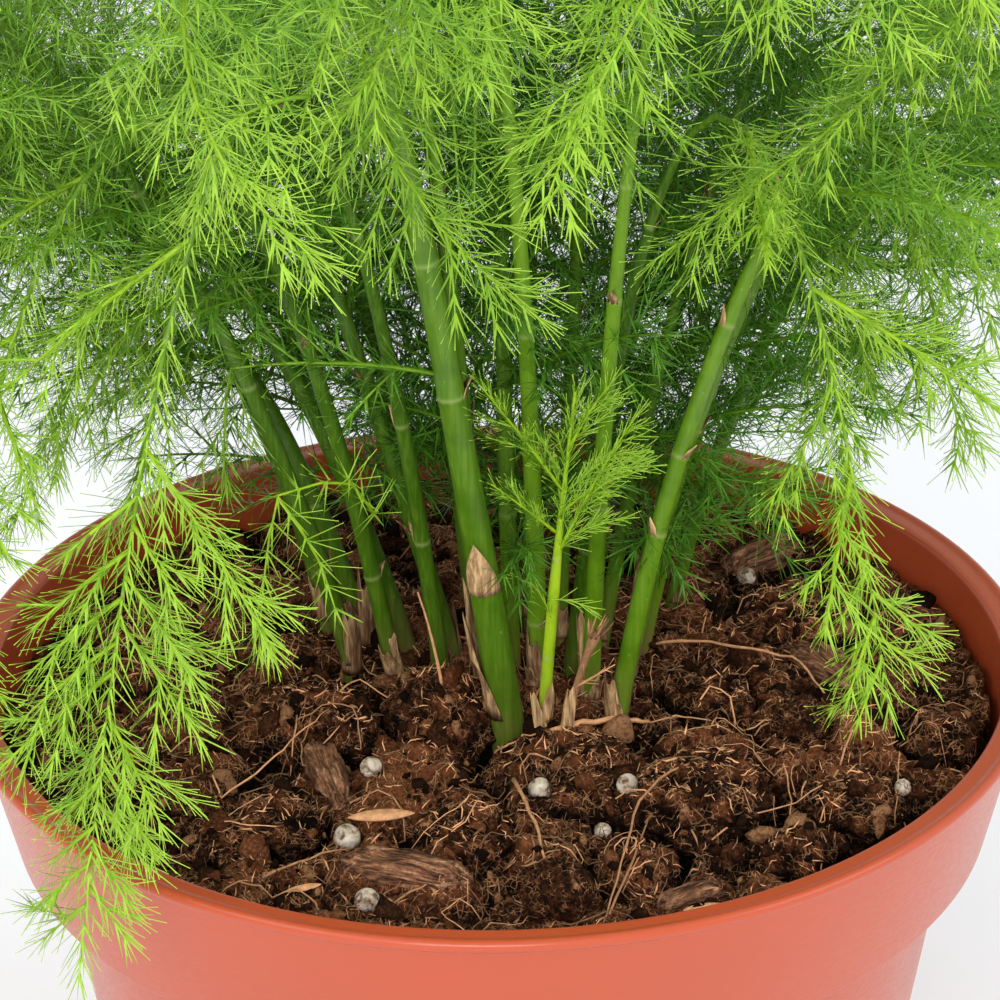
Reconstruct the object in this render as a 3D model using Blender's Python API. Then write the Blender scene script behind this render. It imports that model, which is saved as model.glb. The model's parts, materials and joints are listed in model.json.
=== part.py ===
"""Potted asparagus fern: a plastic nursery pot, its potting soil, and the leafy stems that stand in it.

Sizes are in millimetres and are brought to metres as each mesh is finished. The origin is the
centre of the pot's flat base, +Z is up, and -Y is the front.
"""

import math
import random
from collections import namedtuple

import bmesh
import bpy
import numpy as np
from mathutils import Matrix, Vector, noise

MM = 0.001
GAP = 0.3
UP = Vector((0.0, 0.0, 1.0))

# Pot: a turned profile of radius and height, from the middle of the base up the outside
POT_SIDES = 42
POT_OUTSIDE = (
    (42.9, 0.0),
    (44.1, 1.2),
    (56.1, 80.0),
    (60.4, 81.0),
    (64.1, 98.0),
    (65.0, 98.4),
    (65.0, 99.4),
    (64.4, 100.0),
)
POT_INSIDE = (
    (41.7, 1.8),
    (42.8, 3.0),
    (54.6, 80.6),
    (59.1, 82.6),
    (60.9, 90.0),
    (61.4, 97.4),
    (61.4, 99.2),
    (62.4, 100.0),
)

# Potting soil: the ball of soil fills the pot to a lumpy top
SOIL_FLOOR = 2.1
SOIL_BENDS = (82.9, 80.5, 3.4)
SOIL_LEVEL = 92.6
SOIL_CELLS = 17
SOIL_SEED_PLACE = Vector((31.7, 4.3, 8.1))
CROWN_LEVEL = 94.0
CROWN_CENTRE = Vector((0.0, 4.0, 0.0))
CROWN_SPREAD = 25.0
ROOT_DEPTH = 10.0
CLODS = (
    # x, y, radius, height
    (-26.0, -4.0, 12.0, 5.0),
    (-9.5, -19.0, 11.0, 5.5),
    (24.0, -21.0, 13.0, 4.5),
    (-4.0, -36.0, 12.0, 3.5),
    (13.0, -45.0, 10.0, 3.0),
    (-34.0, -24.0, 11.0, 3.5),
    (43.0, -17.0, 11.0, 3.5),
    (38.0, 17.0, 12.0, 3.5),
    (-41.0, 14.0, 12.0, 3.0),
    (10.0, 42.0, 13.0, 3.5),
    (-22.0, 41.0, 12.0, 3.0),
)

# Pieces that lie on the soil, each in its own seat
PERLITE = (
    # x, y, radius
    (-15.3, -21.2, 1.4),
    (-17.7, -34.1, 1.75),
    (-15.1, -47.2, 1.55),
    (4.4, -23.7, 1.5),
    (14.6, -25.0, 1.35),
    (11.6, -31.0, 1.1),
    (46.7, -25.0, 1.1),
    (32.9, 30.0, 1.25),
)
BARK_CHIPS = (
    # x, y, heading in degrees, length, width, thickness
    (-20.4, -18.9, 106.0, 15.0, 4.4, 3.6),
    (-10.9, -42.5, 160.0, 14.0, 5.5, 4.0),
    (41.3, 4.4, 128.0, 12.0, 6.0, 3.2),
    (35.5, 37.0, 40.0, 12.0, 6.0, 4.2),
    (20.8, -47.1, 30.0, 7.5, 3.6, 2.0),
)
NUGGETS = (
    # x, y, radius
    (6.0, -48.0, 4.1),
    (36.0, -11.6, 3.3),
)

# Stems and needles
NEEDLE_LEAN = math.radians(52.0)
WHORL_LENGTH = 1.2
NODE_LENGTH = 1.6
CURVE_STEPS = 48
BARE_RING_SPACING = 32.0
BARE_ROOM = 1.0
SWERVE = math.radians(41.0)
TRIES = 9

Habit = namedtuple(
    "Habit", "forks twig_length twig_angle twig_sag twig_radius first_whorl pitch needle tip_whorls")
GROWN = Habit((0.46, 0.62, 0.78), 60.0, 54.0, 0.24, 0.5, 13.0, 11.2, 7.2, 2)
FRONT = GROWN._replace(forks=(0.50, 0.66, 0.82), twig_length=42.0)
HANGING = GROWN._replace(
    forks=(0.60, 0.71, 0.83), twig_length=27.0, twig_angle=46.0, twig_sag=0.1, first_whorl=7.0, pitch=9.5)
YOUNG = Habit((), 0.0, 0.0, 0.0, 0.4, 3.6, 3.6, 2.6, 1)
DRY = Habit((0.62,), 7.0, 40.0, 0.0, 0.4, 4.0, 3.6, 2.4, 1)

# A stem is half as thick at a distance of TAPER_LENGTH above the soil as at its foot
TAPER_LENGTH = 125.0
TAPER_POWER = 1.2
THINNEST_STEM = 0.4

Frond = namedtuple("Frond", "x y heading lean rise reach tip_height radius sides habit")
FRONDS = {
    # Base x and y, heading, lean at the base, rise to the bend, reach and height of the tip, thickness
    "frond_01": Frond(0.8, -8.5, 205, 7.5, 150, 46, 284, 2.15, 8, GROWN),
    "frond_02": Frond(4.8, -1.0, 256, 2.5, 165, 93, 192, 1.3, 5, FRONT),
    "frond_03": Frond(11.0, -3.5, 286, 6.5, 165, 88, 204, 1.2, 5, FRONT),
    "frond_04": Frond(14.0, -9.0, 354, 8.5, 120, 92, 210, 1.25, 5, GROWN),
    "frond_05": Frond(15.5, 1.0, 4, 10, 120, 104, 190, 1.2, 5, GROWN),
    "frond_06": Frond(-5.5, 7.0, 186, 14, 130, 60, 280, 1.2, 5, GROWN),
    "frond_07": Frond(-18.5, 6.5, 194, 12, 120, 108, 214, 1.2, 5, GROWN),
    "frond_08": Frond(-11.5, 10.0, 178, 14, 110, 120, 190, 1.2, 5, GROWN),
    "frond_09": Frond(-17.0, 13.0, 166, 14, 100, 120, 146, 1.2, 5, GROWN),
    "frond_10": Frond(-22.0, 18.0, 150, 12, 75, 106, 172, 1.1, 5, GROWN),
    "frond_11": Frond(-2.0, 0.5, 250, 5, 165, 90, 196, 1.1, 5, FRONT),
    "frond_12": Frond(1.5, 6.0, 98, 4, 140, 34, 322, 1.2, 5, GROWN),
    "frond_13": Frond(9.0, 4.0, 307, 9, 150, 56, 112, 1.1, 5, HANGING),
    "frond_14": Frond(18.0, 9.5, 12, 11, 120, 96, 232, 1.1, 5, GROWN),
    "frond_15": Frond(7.5, 12.0, 70, 8, 140, 68, 302, 1.1, 5, GROWN),
    "frond_16": Frond(-1.5, 13.0, 122, 7, 135, 80, 288, 1.1, 5, GROWN),
    "frond_17": Frond(13.0, 11.0, 40, 12, 115, 104, 222, 1.0, 5, GROWN),
    "frond_18": Frond(-8.0, 16.5, 132, 13, 120, 112, 208, 1.1, 5, GROWN),
    "frond_19": Frond(4.0, 17.5, 86, 12, 125, 108, 232, 1.0, 5, GROWN),
    "frond_20": Frond(22.5, 21.0, 26, 14, 92, 104, 150, 1.0, 5, GROWN),
    "frond_21": Frond(-15.0, 20.5, 138, 16, 90, 112, 140, 1.0, 5, GROWN),
    "frond_22": Frond(-3.5, 20.5, 108, 16, 95, 118, 158, 1.0, 5, GROWN),
    "frond_23": Frond(11.0, 19.0, 62, 15, 92, 116, 150, 1.0, 5, GROWN),
    "frond_24": Frond(-7.0, 1.0, 237, 9, 170, 71, 92, 1.1, 5, HANGING),
    "frond_25": Frond(-13.0, 3.5, 214, 10, 150, 63, 104, 1.15, 5, HANGING),
    "young_shoot": Frond(5.0, -12.2, 350, 4, 26, 4.2, 139.5, 1.0, 5, YOUNG),
    "dry_shoot": Frond(7.6, -13.7, 5, 8, 10, 5.2, 111.5, 0.7, 4, DRY),
}

# Twigs that are placed by hand: frond, height of the fork, middle of the arch, tip
SPRIGS = (
    ("frond_24", 118.0, (-22.0, -10.0, 131.0), (-28.0, -19.0, 107.0)),
    ("frond_01", 137.0, (-17.0, -16.0, 146.0), (-29.5, -15.0, 144.0)),
    ("young_shoot", 118.0, (11.8, -15.5, 131.5), (16.4, -17.0, 139.0)),
    ("young_shoot", 121.0, (4.0, -14.5, 125.0), (-0.6, -16.0, 129.5)),
    ("young_shoot", 123.6, (10.6, -13.2, 128.0), (16.6, -13.7, 129.8)),
    ("young_shoot", 126.2, (4.4, -13.5, 132.5), (-1.8, -15.5, 141.8)),
    ("young_shoot", 131.8, (10.0, -13.8, 137.0), (13.6, -15.0, 142.0)),
)

# Finishes: colour, roughness
FINISHES = {
    "pot_plastic": ((0.74, 0.16, 0.08, 1.0), 0.38),
    "potting_soil": ((0.055, 0.028, 0.017, 1.0), 0.95),
    "fern_green": ((0.085, 0.24, 0.03, 1.0), 0.55),
    "fern_lime": ((0.25, 0.50, 0.03, 1.0), 0.5),
    "dry_stem": ((0.36, 0.25, 0.12, 1.0), 0.8),
    "bark": ((0.15, 0.07, 0.04, 1.0), 0.9),
    "perlite": ((0.66, 0.63, 0.58, 1.0), 0.85),
}


def clear_scene():
    """Takes everything out of the scene."""
    for thing in list(bpy.data.objects):
        bpy.data.objects.remove(thing, do_unlink=True)


def finish(slot):
    """Gives the named finish as a material, made once."""
    made = bpy.data.materials.get(slot)
    if made:
        return made
    colour, roughness = FINISHES[slot]
    made = bpy.data.materials.new(slot)
    made.use_nodes = True
    made.diffuse_color = colour
    shader = made.node_tree.nodes["Principled BSDF"]
    shader.inputs["Base Color"].default_value = colour
    shader.inputs["Roughness"].default_value = roughness
    shader.inputs["Metallic"].default_value = 0.0
    return made


def solid(name, bm, slot):
    """Turns a mesh in millimetres into a named object in metres."""
    bmesh.ops.recalc_face_normals(bm, faces=bm.faces)
    bm.transform(Matrix.Scale(MM, 4))
    mesh = bpy.data.meshes.new(name)
    bm.to_mesh(mesh)
    bm.free()
    mesh.materials.append(finish(slot))
    made = bpy.data.objects.new(name, mesh)
    bpy.context.scene.collection.objects.link(made)
    return made


def unit_out(heading):
    """Level unit vector at a heading in degrees."""
    angle = math.radians(heading)
    return Vector((math.cos(angle), math.sin(angle), 0.0))


def wall_radius(height):
    """Inner radius of the pot's wall at a height."""
    for (low_r, low_z), (high_r, high_z) in zip(POT_INSIDE, POT_INSIDE[1:]):
        if low_z <= height <= high_z:
            share = (height - low_z) / (high_z - low_z)
            return low_r + (high_r - low_r) * share
    return POT_INSIDE[0][0]


def soil_height(x, y):
    """Height of the soil's top: a slight rise to the crown, loose crumbs, and the larger clods."""
    place = Vector((x, y, 0.0))
    to_crown = (place - CROWN_CENTRE).length / CROWN_SPREAD
    crown = math.exp(-to_crown ** 4)
    crumbs = 2.2 * noise.noise(place * 0.085 + SOIL_SEED_PLACE) + 1.2 * noise.noise(place * 0.21)
    height = SOIL_LEVEL + crumbs
    for clod_x, clod_y, radius, rise in CLODS:
        share = math.hypot(x - clod_x, y - clod_y) / radius
        if share < 1.0:
            height += rise * (1.0 - share * share) ** 1.5
    return height + (CROWN_LEVEL - height) * crown


def make_pot():
    """Turns the pot's profile about Z."""
    bm = bmesh.new()
    profile = ((0.0, 0.0),) + POT_OUTSIDE + tuple(reversed(POT_INSIDE)) + ((0.0, POT_INSIDE[0][1]),)
    verts = [bm.verts.new((radius, 0.0, height)) for radius, height in profile]
    edges = [bm.edges.new(pair) for pair in zip(verts, verts[1:])]
    bmesh.ops.spin(bm, geom=verts + edges, cent=(0, 0, 0), axis=(0, 0, 1), angle=2 * math.pi, steps=POT_SIDES)
    bmesh.ops.remove_doubles(bm, verts=bm.verts, dist=0.01)
    pot = solid("pot", bm, "pot_plastic")
    pot.data.shade_smooth()
    pot.data.set_sharp_from_angle(angle=math.radians(35.0))
    return pot


def make_soil():
    """Makes the ball of soil: a lumpy round top, with sides that follow the pot's wall."""
    bm = bmesh.new()
    edge_radius = wall_radius(SOIL_LEVEL - 3.0) * math.cos(math.pi / POT_SIDES) - GAP
    bmesh.ops.create_grid(bm, x_segments=SOIL_CELLS, y_segments=SOIL_CELLS, size=1.0)
    for vert in bm.verts:
        u, v = vert.co.x, vert.co.y
        x = edge_radius * u * math.sqrt(1.0 - v * v / 2.0)
        y = edge_radius * v * math.sqrt(1.0 - u * u / 2.0)
        vert.co = Vector((x, y, soil_height(x, y)))
    edge = [e for e in bm.edges if e.is_boundary]
    for height in (SOIL_LEVEL - 4.0, *SOIL_BENDS, SOIL_FLOOR):
        grown = bmesh.ops.extrude_edge_only(bm, edges=edge)["geom"]
        radius = wall_radius(height) * math.cos(math.pi / POT_SIDES) - GAP
        for vert in (item for item in grown if isinstance(item, bmesh.types.BMVert)):
            flat = Vector((vert.co.x, vert.co.y, 0.0)).normalized() * radius
            vert.co = Vector((flat.x, flat.y, height))
        edge = [item for item in grown if isinstance(item, bmesh.types.BMEdge)]
    bmesh.ops.contextual_create(bm, geom=edge)
    return solid("potting_soil", bm, "potting_soil")


def grain(name, x, y, radius, sink, detail, slot, extra=0.0):
    """Makes a lumpy round grain that sits part sunk in the soil."""
    bm = bmesh.new()
    bmesh.ops.create_icosphere(bm, subdivisions=detail, radius=radius)
    for vert in bm.verts:
        away = vert.co.normalized()
        lump = noise.noise(away * 1.3 + Vector((x, y, radius)))
        vert.co = away * (radius * (1.0 + 0.16 * lump) + extra)
    bmesh.ops.translate(bm, verts=bm.verts, vec=(x, y, soil_height(x, y) + radius * (1.0 - 2.0 * sink)))
    return solid(name, bm, slot)


def bark_chip(name, x, y, heading, length, width, thickness, extra=0.0):
    """Makes a flat, ragged-ended chip of bark, part sunk in the soil."""
    bm = bmesh.new()
    stations = ((-0.5, 0.42), (-0.36, 0.86), (0.02, 1.0), (0.34, 0.8), (0.5, 0.36))
    corners = ((-0.5, -0.28), (0.5, -0.36), (0.56, 0.12), (0.16, 0.5), (-0.34, 0.42))
    rings = []
    for along, share in stations:
        shift = extra if along > 0 else -extra
        stretch = shift if abs(along) == 0.5 else 0.0
        ring = []
        for across, level in corners:
            grow = Vector((0.0, across, level)).normalized() * extra * 1.5
            at = Vector((along * length + stretch, across * width * share, level * thickness * share))
            ring.append(bm.verts.new(at + grow))
        rings.append(ring)
    bm.faces.new(reversed(rings[0]))
    bm.faces.new(rings[-1])
    for first, second in zip(rings, rings[1:]):
        for k in range(len(corners)):
            nxt = (k + 1) % len(corners)
            bm.faces.new((first[k], first[nxt], second[nxt], second[k]))
    turn = Matrix.Rotation(math.radians(heading), 4, "Z")
    bm.transform(Matrix.Translation((x, y, soil_height(x, y) + 0.16 * thickness)) @ turn)
    return solid(name, bm, "bark")


def bezier(start, middle, end, steps):
    """Points along a quadratic curve."""
    points = []
    for k in range(steps + 1):
        t = k / steps
        points.append(start * (1 - t) ** 2 + middle * 2 * t * (1 - t) + end * t * t)
    return points


class Route:
    """A smooth line through points, read by the distance along it."""

    def __init__(self, points):
        self.points = points
        self.marks = [0.0]
        for first, second in zip(points, points[1:]):
            self.marks.append(self.marks[-1] + (second - first).length)
        self.length = self.marks[-1]

    def at(self, distance):
        """Gives the place and the direction at a distance from the start."""
        k = 0
        while k < len(self.points) - 2 and self.marks[k + 1] < distance:
            k += 1
        first, second = self.points[k], self.points[k + 1]
        direction = (second - first).normalized()
        return first + direction * (distance - self.marks[k]), direction

    def height_mark(self, height):
        """Gives the distance at which the line first climbs to a height."""
        for k, point in enumerate(self.points):
            if point.z >= height:
                return self.marks[k]
        return self.length


def stem_route(frond):
    """Line of a stem from its root end, straight up to the soil's top and over in one arch."""
    base = Vector((frond.x, frond.y, CROWN_LEVEL))
    out = unit_out(frond.heading)
    bend = base + out * math.tan(math.radians(frond.lean)) * frond.rise + UP * frond.rise
    tip = Vector((frond.x, frond.y, frond.tip_height)) + out * frond.reach
    arch = bezier(base, bend, tip, CURVE_STEPS)
    return Route([base - UP * ROOT_DEPTH] + arch)


def twig_route(stem, mark, frond, turn, length):
    """Line of a side twig that leaves the stem at a mark, turned about it, and sags a little."""
    start, direction = stem.at(mark)
    side = direction.cross(UP)
    if side.length < 0.2:
        side = direction.cross(unit_out(frond.heading + 90.0))
    side = Matrix.Rotation(turn, 3, direction) @ side.normalized()
    angle = math.radians(frond.habit.twig_angle)
    away = direction * math.cos(angle) + side * math.sin(angle)
    middle = start + away * length * 0.5
    end = start + away * length - UP * frond.habit.twig_sag * length
    return Route(bezier(start, middle, end, 12))


def stem_thickness(frond, mark):
    """Radius of a stem at a distance from its root end."""
    above = max(0.0, mark - ROOT_DEPTH) / TAPER_LENGTH
    return max(THINNEST_STEM, frond.radius / (1.0 + above ** TAPER_POWER))


def stem_room(route, radius):
    """Points every 3 mm along a stem, and the room that each needs."""
    marks = np.arange(0.0, route.length, 3.0)
    return np.array([route.at(mark)[0] for mark in marks]), np.full(len(marks), radius + 0.5)


def twig_room(route, habit):
    """Points every 2 mm along a twig, and the room that each needs: more where needles stand."""
    marks = np.arange(3.0, route.length, 2.0)
    points = np.array([route.at(mark)[0] for mark in marks])
    return points, np.where(marks > habit.first_whorl - 1.0, 0.5 * habit.needle, BARE_ROOM)


def crowded(points, room, taken, owner):
    """Tells whether points come too near what is taken, apart from the owner's own stem."""
    for other, (other_points, other_room) in taken:
        if other == owner:
            continue
        apart = np.linalg.norm(points[:, None] - other_points[None], axis=2)
        if (apart < room[:, None] + other_room[None]).any():
            return True
    return False


def lay_out():
    """Places every stem and twig, turning a twig about its stem until it has room."""
    stems = {name: stem_route(frond) for name, frond in FRONDS.items()}
    twigs = {name: [] for name in FRONDS}
    taken = [((name, "stem"), stem_room(route, FRONDS[name].radius)) for name, route in stems.items()]
    for name, height, middle, tip in SPRIGS:
        mark = stems[name].height_mark(height)
        route = Route(bezier(stems[name].at(mark)[0], Vector(middle), Vector(tip), 12))
        twigs[name].append((mark, route))
        taken.append(((name, "twig"), twig_room(route, FRONDS[name].habit)))
    for index, (name, frond) in enumerate(FRONDS.items()):
        draw = random.Random(1400 + index)
        stem = stems[name]
        for k, share in enumerate(frond.habit.forks):
            mark = stem.length * share
            length = frond.habit.twig_length * (1.0 - 0.42 * k / 3) * draw.uniform(0.9, 1.1)
            turn = (math.pi if k % 2 else 0.0) + draw.uniform(-0.6, 0.6)
            for _ in range(TRIES):
                route = twig_route(stem, mark, frond, turn, length)
                near = twig_room(route, frond.habit)
                if not crowded(*near, taken, (name, "stem")):
                    twigs[name].append((mark, route))
                    taken.append(((name, "twig"), near))
                    break
                turn += SWERVE
                length *= 0.96
    return stems, twigs


def segment_gap(start, end, starts, ends):
    """Shortest distance from one segment to each of many."""
    d1, d2, r = end - start, ends - starts, start - starts
    a = max(float(d1 @ d1), 1e-9)
    e = np.maximum((d2 * d2).sum(1), 1e-9)
    f, c, b = (d2 * r).sum(1), r @ d1, d2 @ d1
    flat = np.maximum(a * e - b * b, 1e-9)
    s = np.clip((b * f - c * e) / flat, 0.0, 1.0)
    t = (b * s + f) / e
    s = np.where(t < 0.0, np.clip(-c / a, 0.0, 1.0), np.where(t > 1.0, np.clip((b - c) / a, 0.0, 1.0), s))
    t = np.clip(t, 0.0, 1.0)
    return np.linalg.norm((start + s[:, None] * d1) - (starts + t[:, None] * d2), axis=1)


class Thicket:
    """Keeps each needle clear of the stems, the twigs and the other needles."""

    def __init__(self, stems, twigs):
        self.starts, self.ends, self.reach, self.owner = [], [], [], []
        for name, stem in stems.items():
            self.add_route(stem, FRONDS[name].radius, (name, -1))
            for number, (_, twig) in enumerate(twigs[name]):
                self.add_route(twig, FRONDS[name].habit.twig_radius, (name, number))

    def add_route(self, route, radius, owner):
        """Adds a line as segments of its radius."""
        for first, second in zip(route.points, route.points[1:]):
            self.add(first, second, radius, owner)

    def add(self, first, second, radius, owner):
        """Adds one segment."""
        self.starts.append(tuple(first))
        self.ends.append(tuple(second))
        self.reach.append(radius)
        self.owner.append(owner)

    def allows(self, root, tip, owner):
        """Adds a needle if it has room, and tells whether it had."""
        starts, ends = np.array(self.starts), np.array(self.ends)
        others = np.array([mark != owner for mark in self.owner])
        apart = segment_gap(np.array(root), np.array(tip), starts[others], ends[others])
        if (apart < np.array(self.reach)[others] + 0.8).any():
            return False
        self.add(root, tip, 0.3, owner)
        return True


def side_faces(face):
    """The faces round a face's edge."""
    return [other for edge in face.edges for other in edge.link_faces if other != face]


def grow(bm, face, place, direction, radius):
    """Extrudes an end face to a new ring, square to a direction, and gives it back with its sides."""
    face = bmesh.ops.extrude_discrete_faces(bm, faces=[face])["faces"][0]
    verts = list(face.verts)
    centre = face.calc_center_median()
    first = verts[0].co - centre
    u = (first - direction * first.dot(direction)).normalized()
    v = direction.cross(u)
    for k, vert in enumerate(verts):
        angle = 2 * math.pi * k / len(verts)
        vert.co = place + (u * math.cos(angle) + v * math.sin(angle)) * radius
    return face, side_faces(face)


def pull(bm, face, tip):
    """Raises a face to a point."""
    point = bmesh.ops.poke(bm, faces=[face])["verts"][0]
    point.co = tip


def raise_needles(bm, faces, direction, needle, thicket, owner):
    """Raises a needle from each face of a whorl, leaning towards the tip."""
    for face in faces:
        root = face.calc_center_median()
        out = face.normal.copy()
        out = (out - direction * out.dot(direction)).normalized()
        tip = root + (out * math.sin(NEEDLE_LEAN) + direction * math.cos(NEEDLE_LEAN)) * needle
        if thicket.allows(root, tip, owner):
            pull(bm, face, tip)


def run_rings(length, first, pitch):
    """Marks of evenly spaced whorls from the first to the end."""
    count = max(1, round((length - first) / pitch))
    return [first + (length - first) * k / count for k in range(count + 1)]


def grow_twig(bm, face, route, habit, stem_radius, thicket, owner):
    """Grows a leafy twig out of a face of the stem, with whorls of needles out to its tip."""
    def thickness(mark):
        return habit.twig_radius * (1.0 - 0.3 * mark / route.length)

    place, direction = route.at(stem_radius + 1.3)
    face, _ = grow(bm, face, place, direction, thickness(0.0))
    for mark in run_rings(route.length - WHORL_LENGTH, habit.first_whorl, habit.pitch):
        place, direction = route.at(mark)
        face, _ = grow(bm, face, place, direction, thickness(mark))
        place, direction = route.at(mark + WHORL_LENGTH)
        face, sides = grow(bm, face, place, direction, thickness(mark))
        bm.normal_update()
        raise_needles(bm, sides, direction, habit.needle, thicket, owner)
    pull(bm, face, place + direction * habit.needle * 0.8)


def stem_foot(sides, radius, place):
    """Starts a stem as a short upright prism on a place, and gives its mesh and its top face."""
    bm = bmesh.new()
    height = ROOT_DEPTH / 2
    bmesh.ops.create_cone(
        bm, cap_ends=True, segments=sides, radius1=radius, radius2=radius, depth=height,
        matrix=Matrix.Translation(place + UP * height / 2))
    return bm, max(bm.faces, key=lambda item: item.calc_center_median().z)


def stem_rings(frond, stem, forks):
    """Rings of a stem as mark and kind: bare, fork or whorl."""
    rings = [(ROOT_DEPTH, "bare")]
    for number, (mark, _) in enumerate(forks):
        rings += [(mark - NODE_LENGTH / 2, "bare"), (mark + NODE_LENGTH / 2, number)]
    end = stem.length
    for k in range(frond.habit.tip_whorls):
        mark = end - WHORL_LENGTH - k * frond.habit.pitch
        rings += [(mark, "bare"), (mark + WHORL_LENGTH, "whorl")]
    rings.sort(key=lambda ring: ring[0])
    filled = []
    last = ROOT_DEPTH
    for mark, kind in rings:
        fill = int((mark - last) / BARE_RING_SPACING)
        filled += [(last + (mark - last) * k / (fill + 1), "bare") for k in range(1, fill + 1)]
        filled.append((mark, kind))
        last = mark
    return filled


def make_frond(name, stem, twigs, thicket):
    """Grows one stem from its root end, and each of its twigs out of a face of the stem."""
    frond = FRONDS[name]
    bm, face = stem_foot(frond.sides, frond.radius, stem.at(0.0)[0])
    forks = []
    for mark, kind in stem_rings(frond, stem, twigs):
        place, direction = stem.at(mark)
        face, sides = grow(bm, face, place, direction, stem_thickness(frond, mark))
        if kind == "whorl":
            bm.normal_update()
            raise_needles(bm, sides, direction, frond.habit.needle, thicket, (name, -1))
        elif kind != "bare":
            forks.append((twigs[kind][1], sides, mark, kind))
    pull(bm, face, place + direction * frond.habit.needle * 0.8)
    bm.normal_update()
    for route, sides, mark, number in forks:
        away = route.at(2.0)[1]
        face = max(sides, key=lambda item: item.normal.dot(away))
        grow_twig(bm, face, route, frond.habit, stem_thickness(frond, mark), thicket, (name, number))
    slot = {YOUNG: "fern_lime", DRY: "dry_stem"}.get(frond.habit, "fern_green")
    return solid(name, bm, slot)


def hole_cutter(name, frond, stem):
    """Makes the cutter of a stem's hole in the soil, which follows the stem a little wider."""
    wide = frond.radius + GAP / math.cos(math.pi / frond.sides) + 0.03
    bm, face = stem_foot(frond.sides, wide, stem.at(0.0)[0] - UP * GAP)
    for mark in (ROOT_DEPTH, ROOT_DEPTH + 8.0):
        face, _ = grow(bm, face, *stem.at(mark), wide)
    return solid("hole_" + name, bm, "potting_soil")


def cut_seats(soil, cutters):
    """Cuts the stems' holes and the loose pieces' seats out of the soil, in one Boolean."""
    group = bpy.data.collections.new("seats")
    bpy.context.scene.collection.children.link(group)
    for cutter in cutters:
        bpy.context.scene.collection.objects.unlink(cutter)
        group.objects.link(cutter)
        cutter.hide_render = True
        cutter.display_type = "WIRE"
    cut = soil.modifiers.new("seats", "BOOLEAN")
    cut.operation = "DIFFERENCE"
    cut.operand_type = "COLLECTION"
    cut.collection = group


def main():
    clear_scene()
    make_pot()
    soil = make_soil()
    cutters = []
    stems, twigs = lay_out()
    thicket = Thicket(stems, twigs)
    for name, frond in FRONDS.items():
        make_frond(name, stems[name], twigs[name], thicket)
        cutters.append(hole_cutter(name, frond, stems[name]))
    for number, (x, y, radius) in enumerate(PERLITE, 1):
        grain(f"perlite_{number}", x, y, radius, 0.35, 1, "perlite")
        cutters.append(grain(f"seat_perlite_{number}", x, y, radius, 0.35, 1, "perlite", GAP * 1.35))
    for number, (x, y, radius) in enumerate(NUGGETS, 1):
        grain(f"bark_nugget_{number}", x, y, radius, 0.4, 2, "bark")
        cutters.append(grain(f"seat_nugget_{number}", x, y, radius, 0.4, 2, "bark", GAP * 1.15))
    for number, chip in enumerate(BARK_CHIPS, 1):
        bark_chip(f"bark_chip_{number}", *chip)
        cutters.append(bark_chip(f"seat_chip_{number}", *chip, extra=GAP))
    cut_seats(soil, cutters)


main()
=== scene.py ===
"""Potted asparagus fern: its looks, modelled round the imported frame.

The file is laid out as a Blender add-on and is run as a script. Lengths in the plant's and the
soil's tables are millimetres, and MM brings a finished mesh to metres.
"""

import json
import math
import random
from collections import namedtuple

import bpy
import numpy as np
from bpy.props import FloatProperty, FloatVectorProperty, IntProperty, PointerProperty
from mathutils import Matrix, Vector, noise
from mathutils.bvhtree import BVHTree

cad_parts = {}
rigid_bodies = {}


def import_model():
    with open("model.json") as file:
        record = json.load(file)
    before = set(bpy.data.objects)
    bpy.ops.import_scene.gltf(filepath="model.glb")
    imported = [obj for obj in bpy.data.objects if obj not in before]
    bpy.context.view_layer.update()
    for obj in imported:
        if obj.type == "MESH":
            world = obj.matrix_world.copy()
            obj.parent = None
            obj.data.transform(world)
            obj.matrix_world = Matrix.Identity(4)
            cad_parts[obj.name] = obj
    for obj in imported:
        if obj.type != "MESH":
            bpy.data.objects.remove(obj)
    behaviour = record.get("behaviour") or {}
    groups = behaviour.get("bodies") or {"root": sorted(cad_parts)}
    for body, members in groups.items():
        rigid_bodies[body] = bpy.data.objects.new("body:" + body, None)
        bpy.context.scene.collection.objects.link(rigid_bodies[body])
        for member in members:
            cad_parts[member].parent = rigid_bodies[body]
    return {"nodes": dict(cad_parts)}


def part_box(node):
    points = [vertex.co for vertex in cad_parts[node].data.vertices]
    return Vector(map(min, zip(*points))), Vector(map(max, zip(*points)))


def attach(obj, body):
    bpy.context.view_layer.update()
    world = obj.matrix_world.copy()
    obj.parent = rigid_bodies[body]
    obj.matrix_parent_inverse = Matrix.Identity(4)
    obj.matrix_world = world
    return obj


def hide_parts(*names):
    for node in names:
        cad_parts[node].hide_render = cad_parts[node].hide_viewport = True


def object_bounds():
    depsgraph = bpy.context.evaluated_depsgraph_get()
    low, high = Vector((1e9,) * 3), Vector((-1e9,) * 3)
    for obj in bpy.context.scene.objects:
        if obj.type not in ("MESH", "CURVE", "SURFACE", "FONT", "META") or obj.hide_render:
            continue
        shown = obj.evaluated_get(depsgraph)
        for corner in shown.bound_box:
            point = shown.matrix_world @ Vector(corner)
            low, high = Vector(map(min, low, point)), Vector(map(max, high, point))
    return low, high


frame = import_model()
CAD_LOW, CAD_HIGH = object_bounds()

bl_info = {
    "name": "Potted asparagus fern",
    "version": (1, 0, 0),
    "blender": (4, 5, 0),
    "location": "3D View > Sidebar > Fern",
    "description": "Models a potted asparagus fern, its soil and its studio stage",
    "category": "Add Mesh",
}

MM = 0.001
UP = Vector((0.0, 0.0, 1.0))

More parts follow.
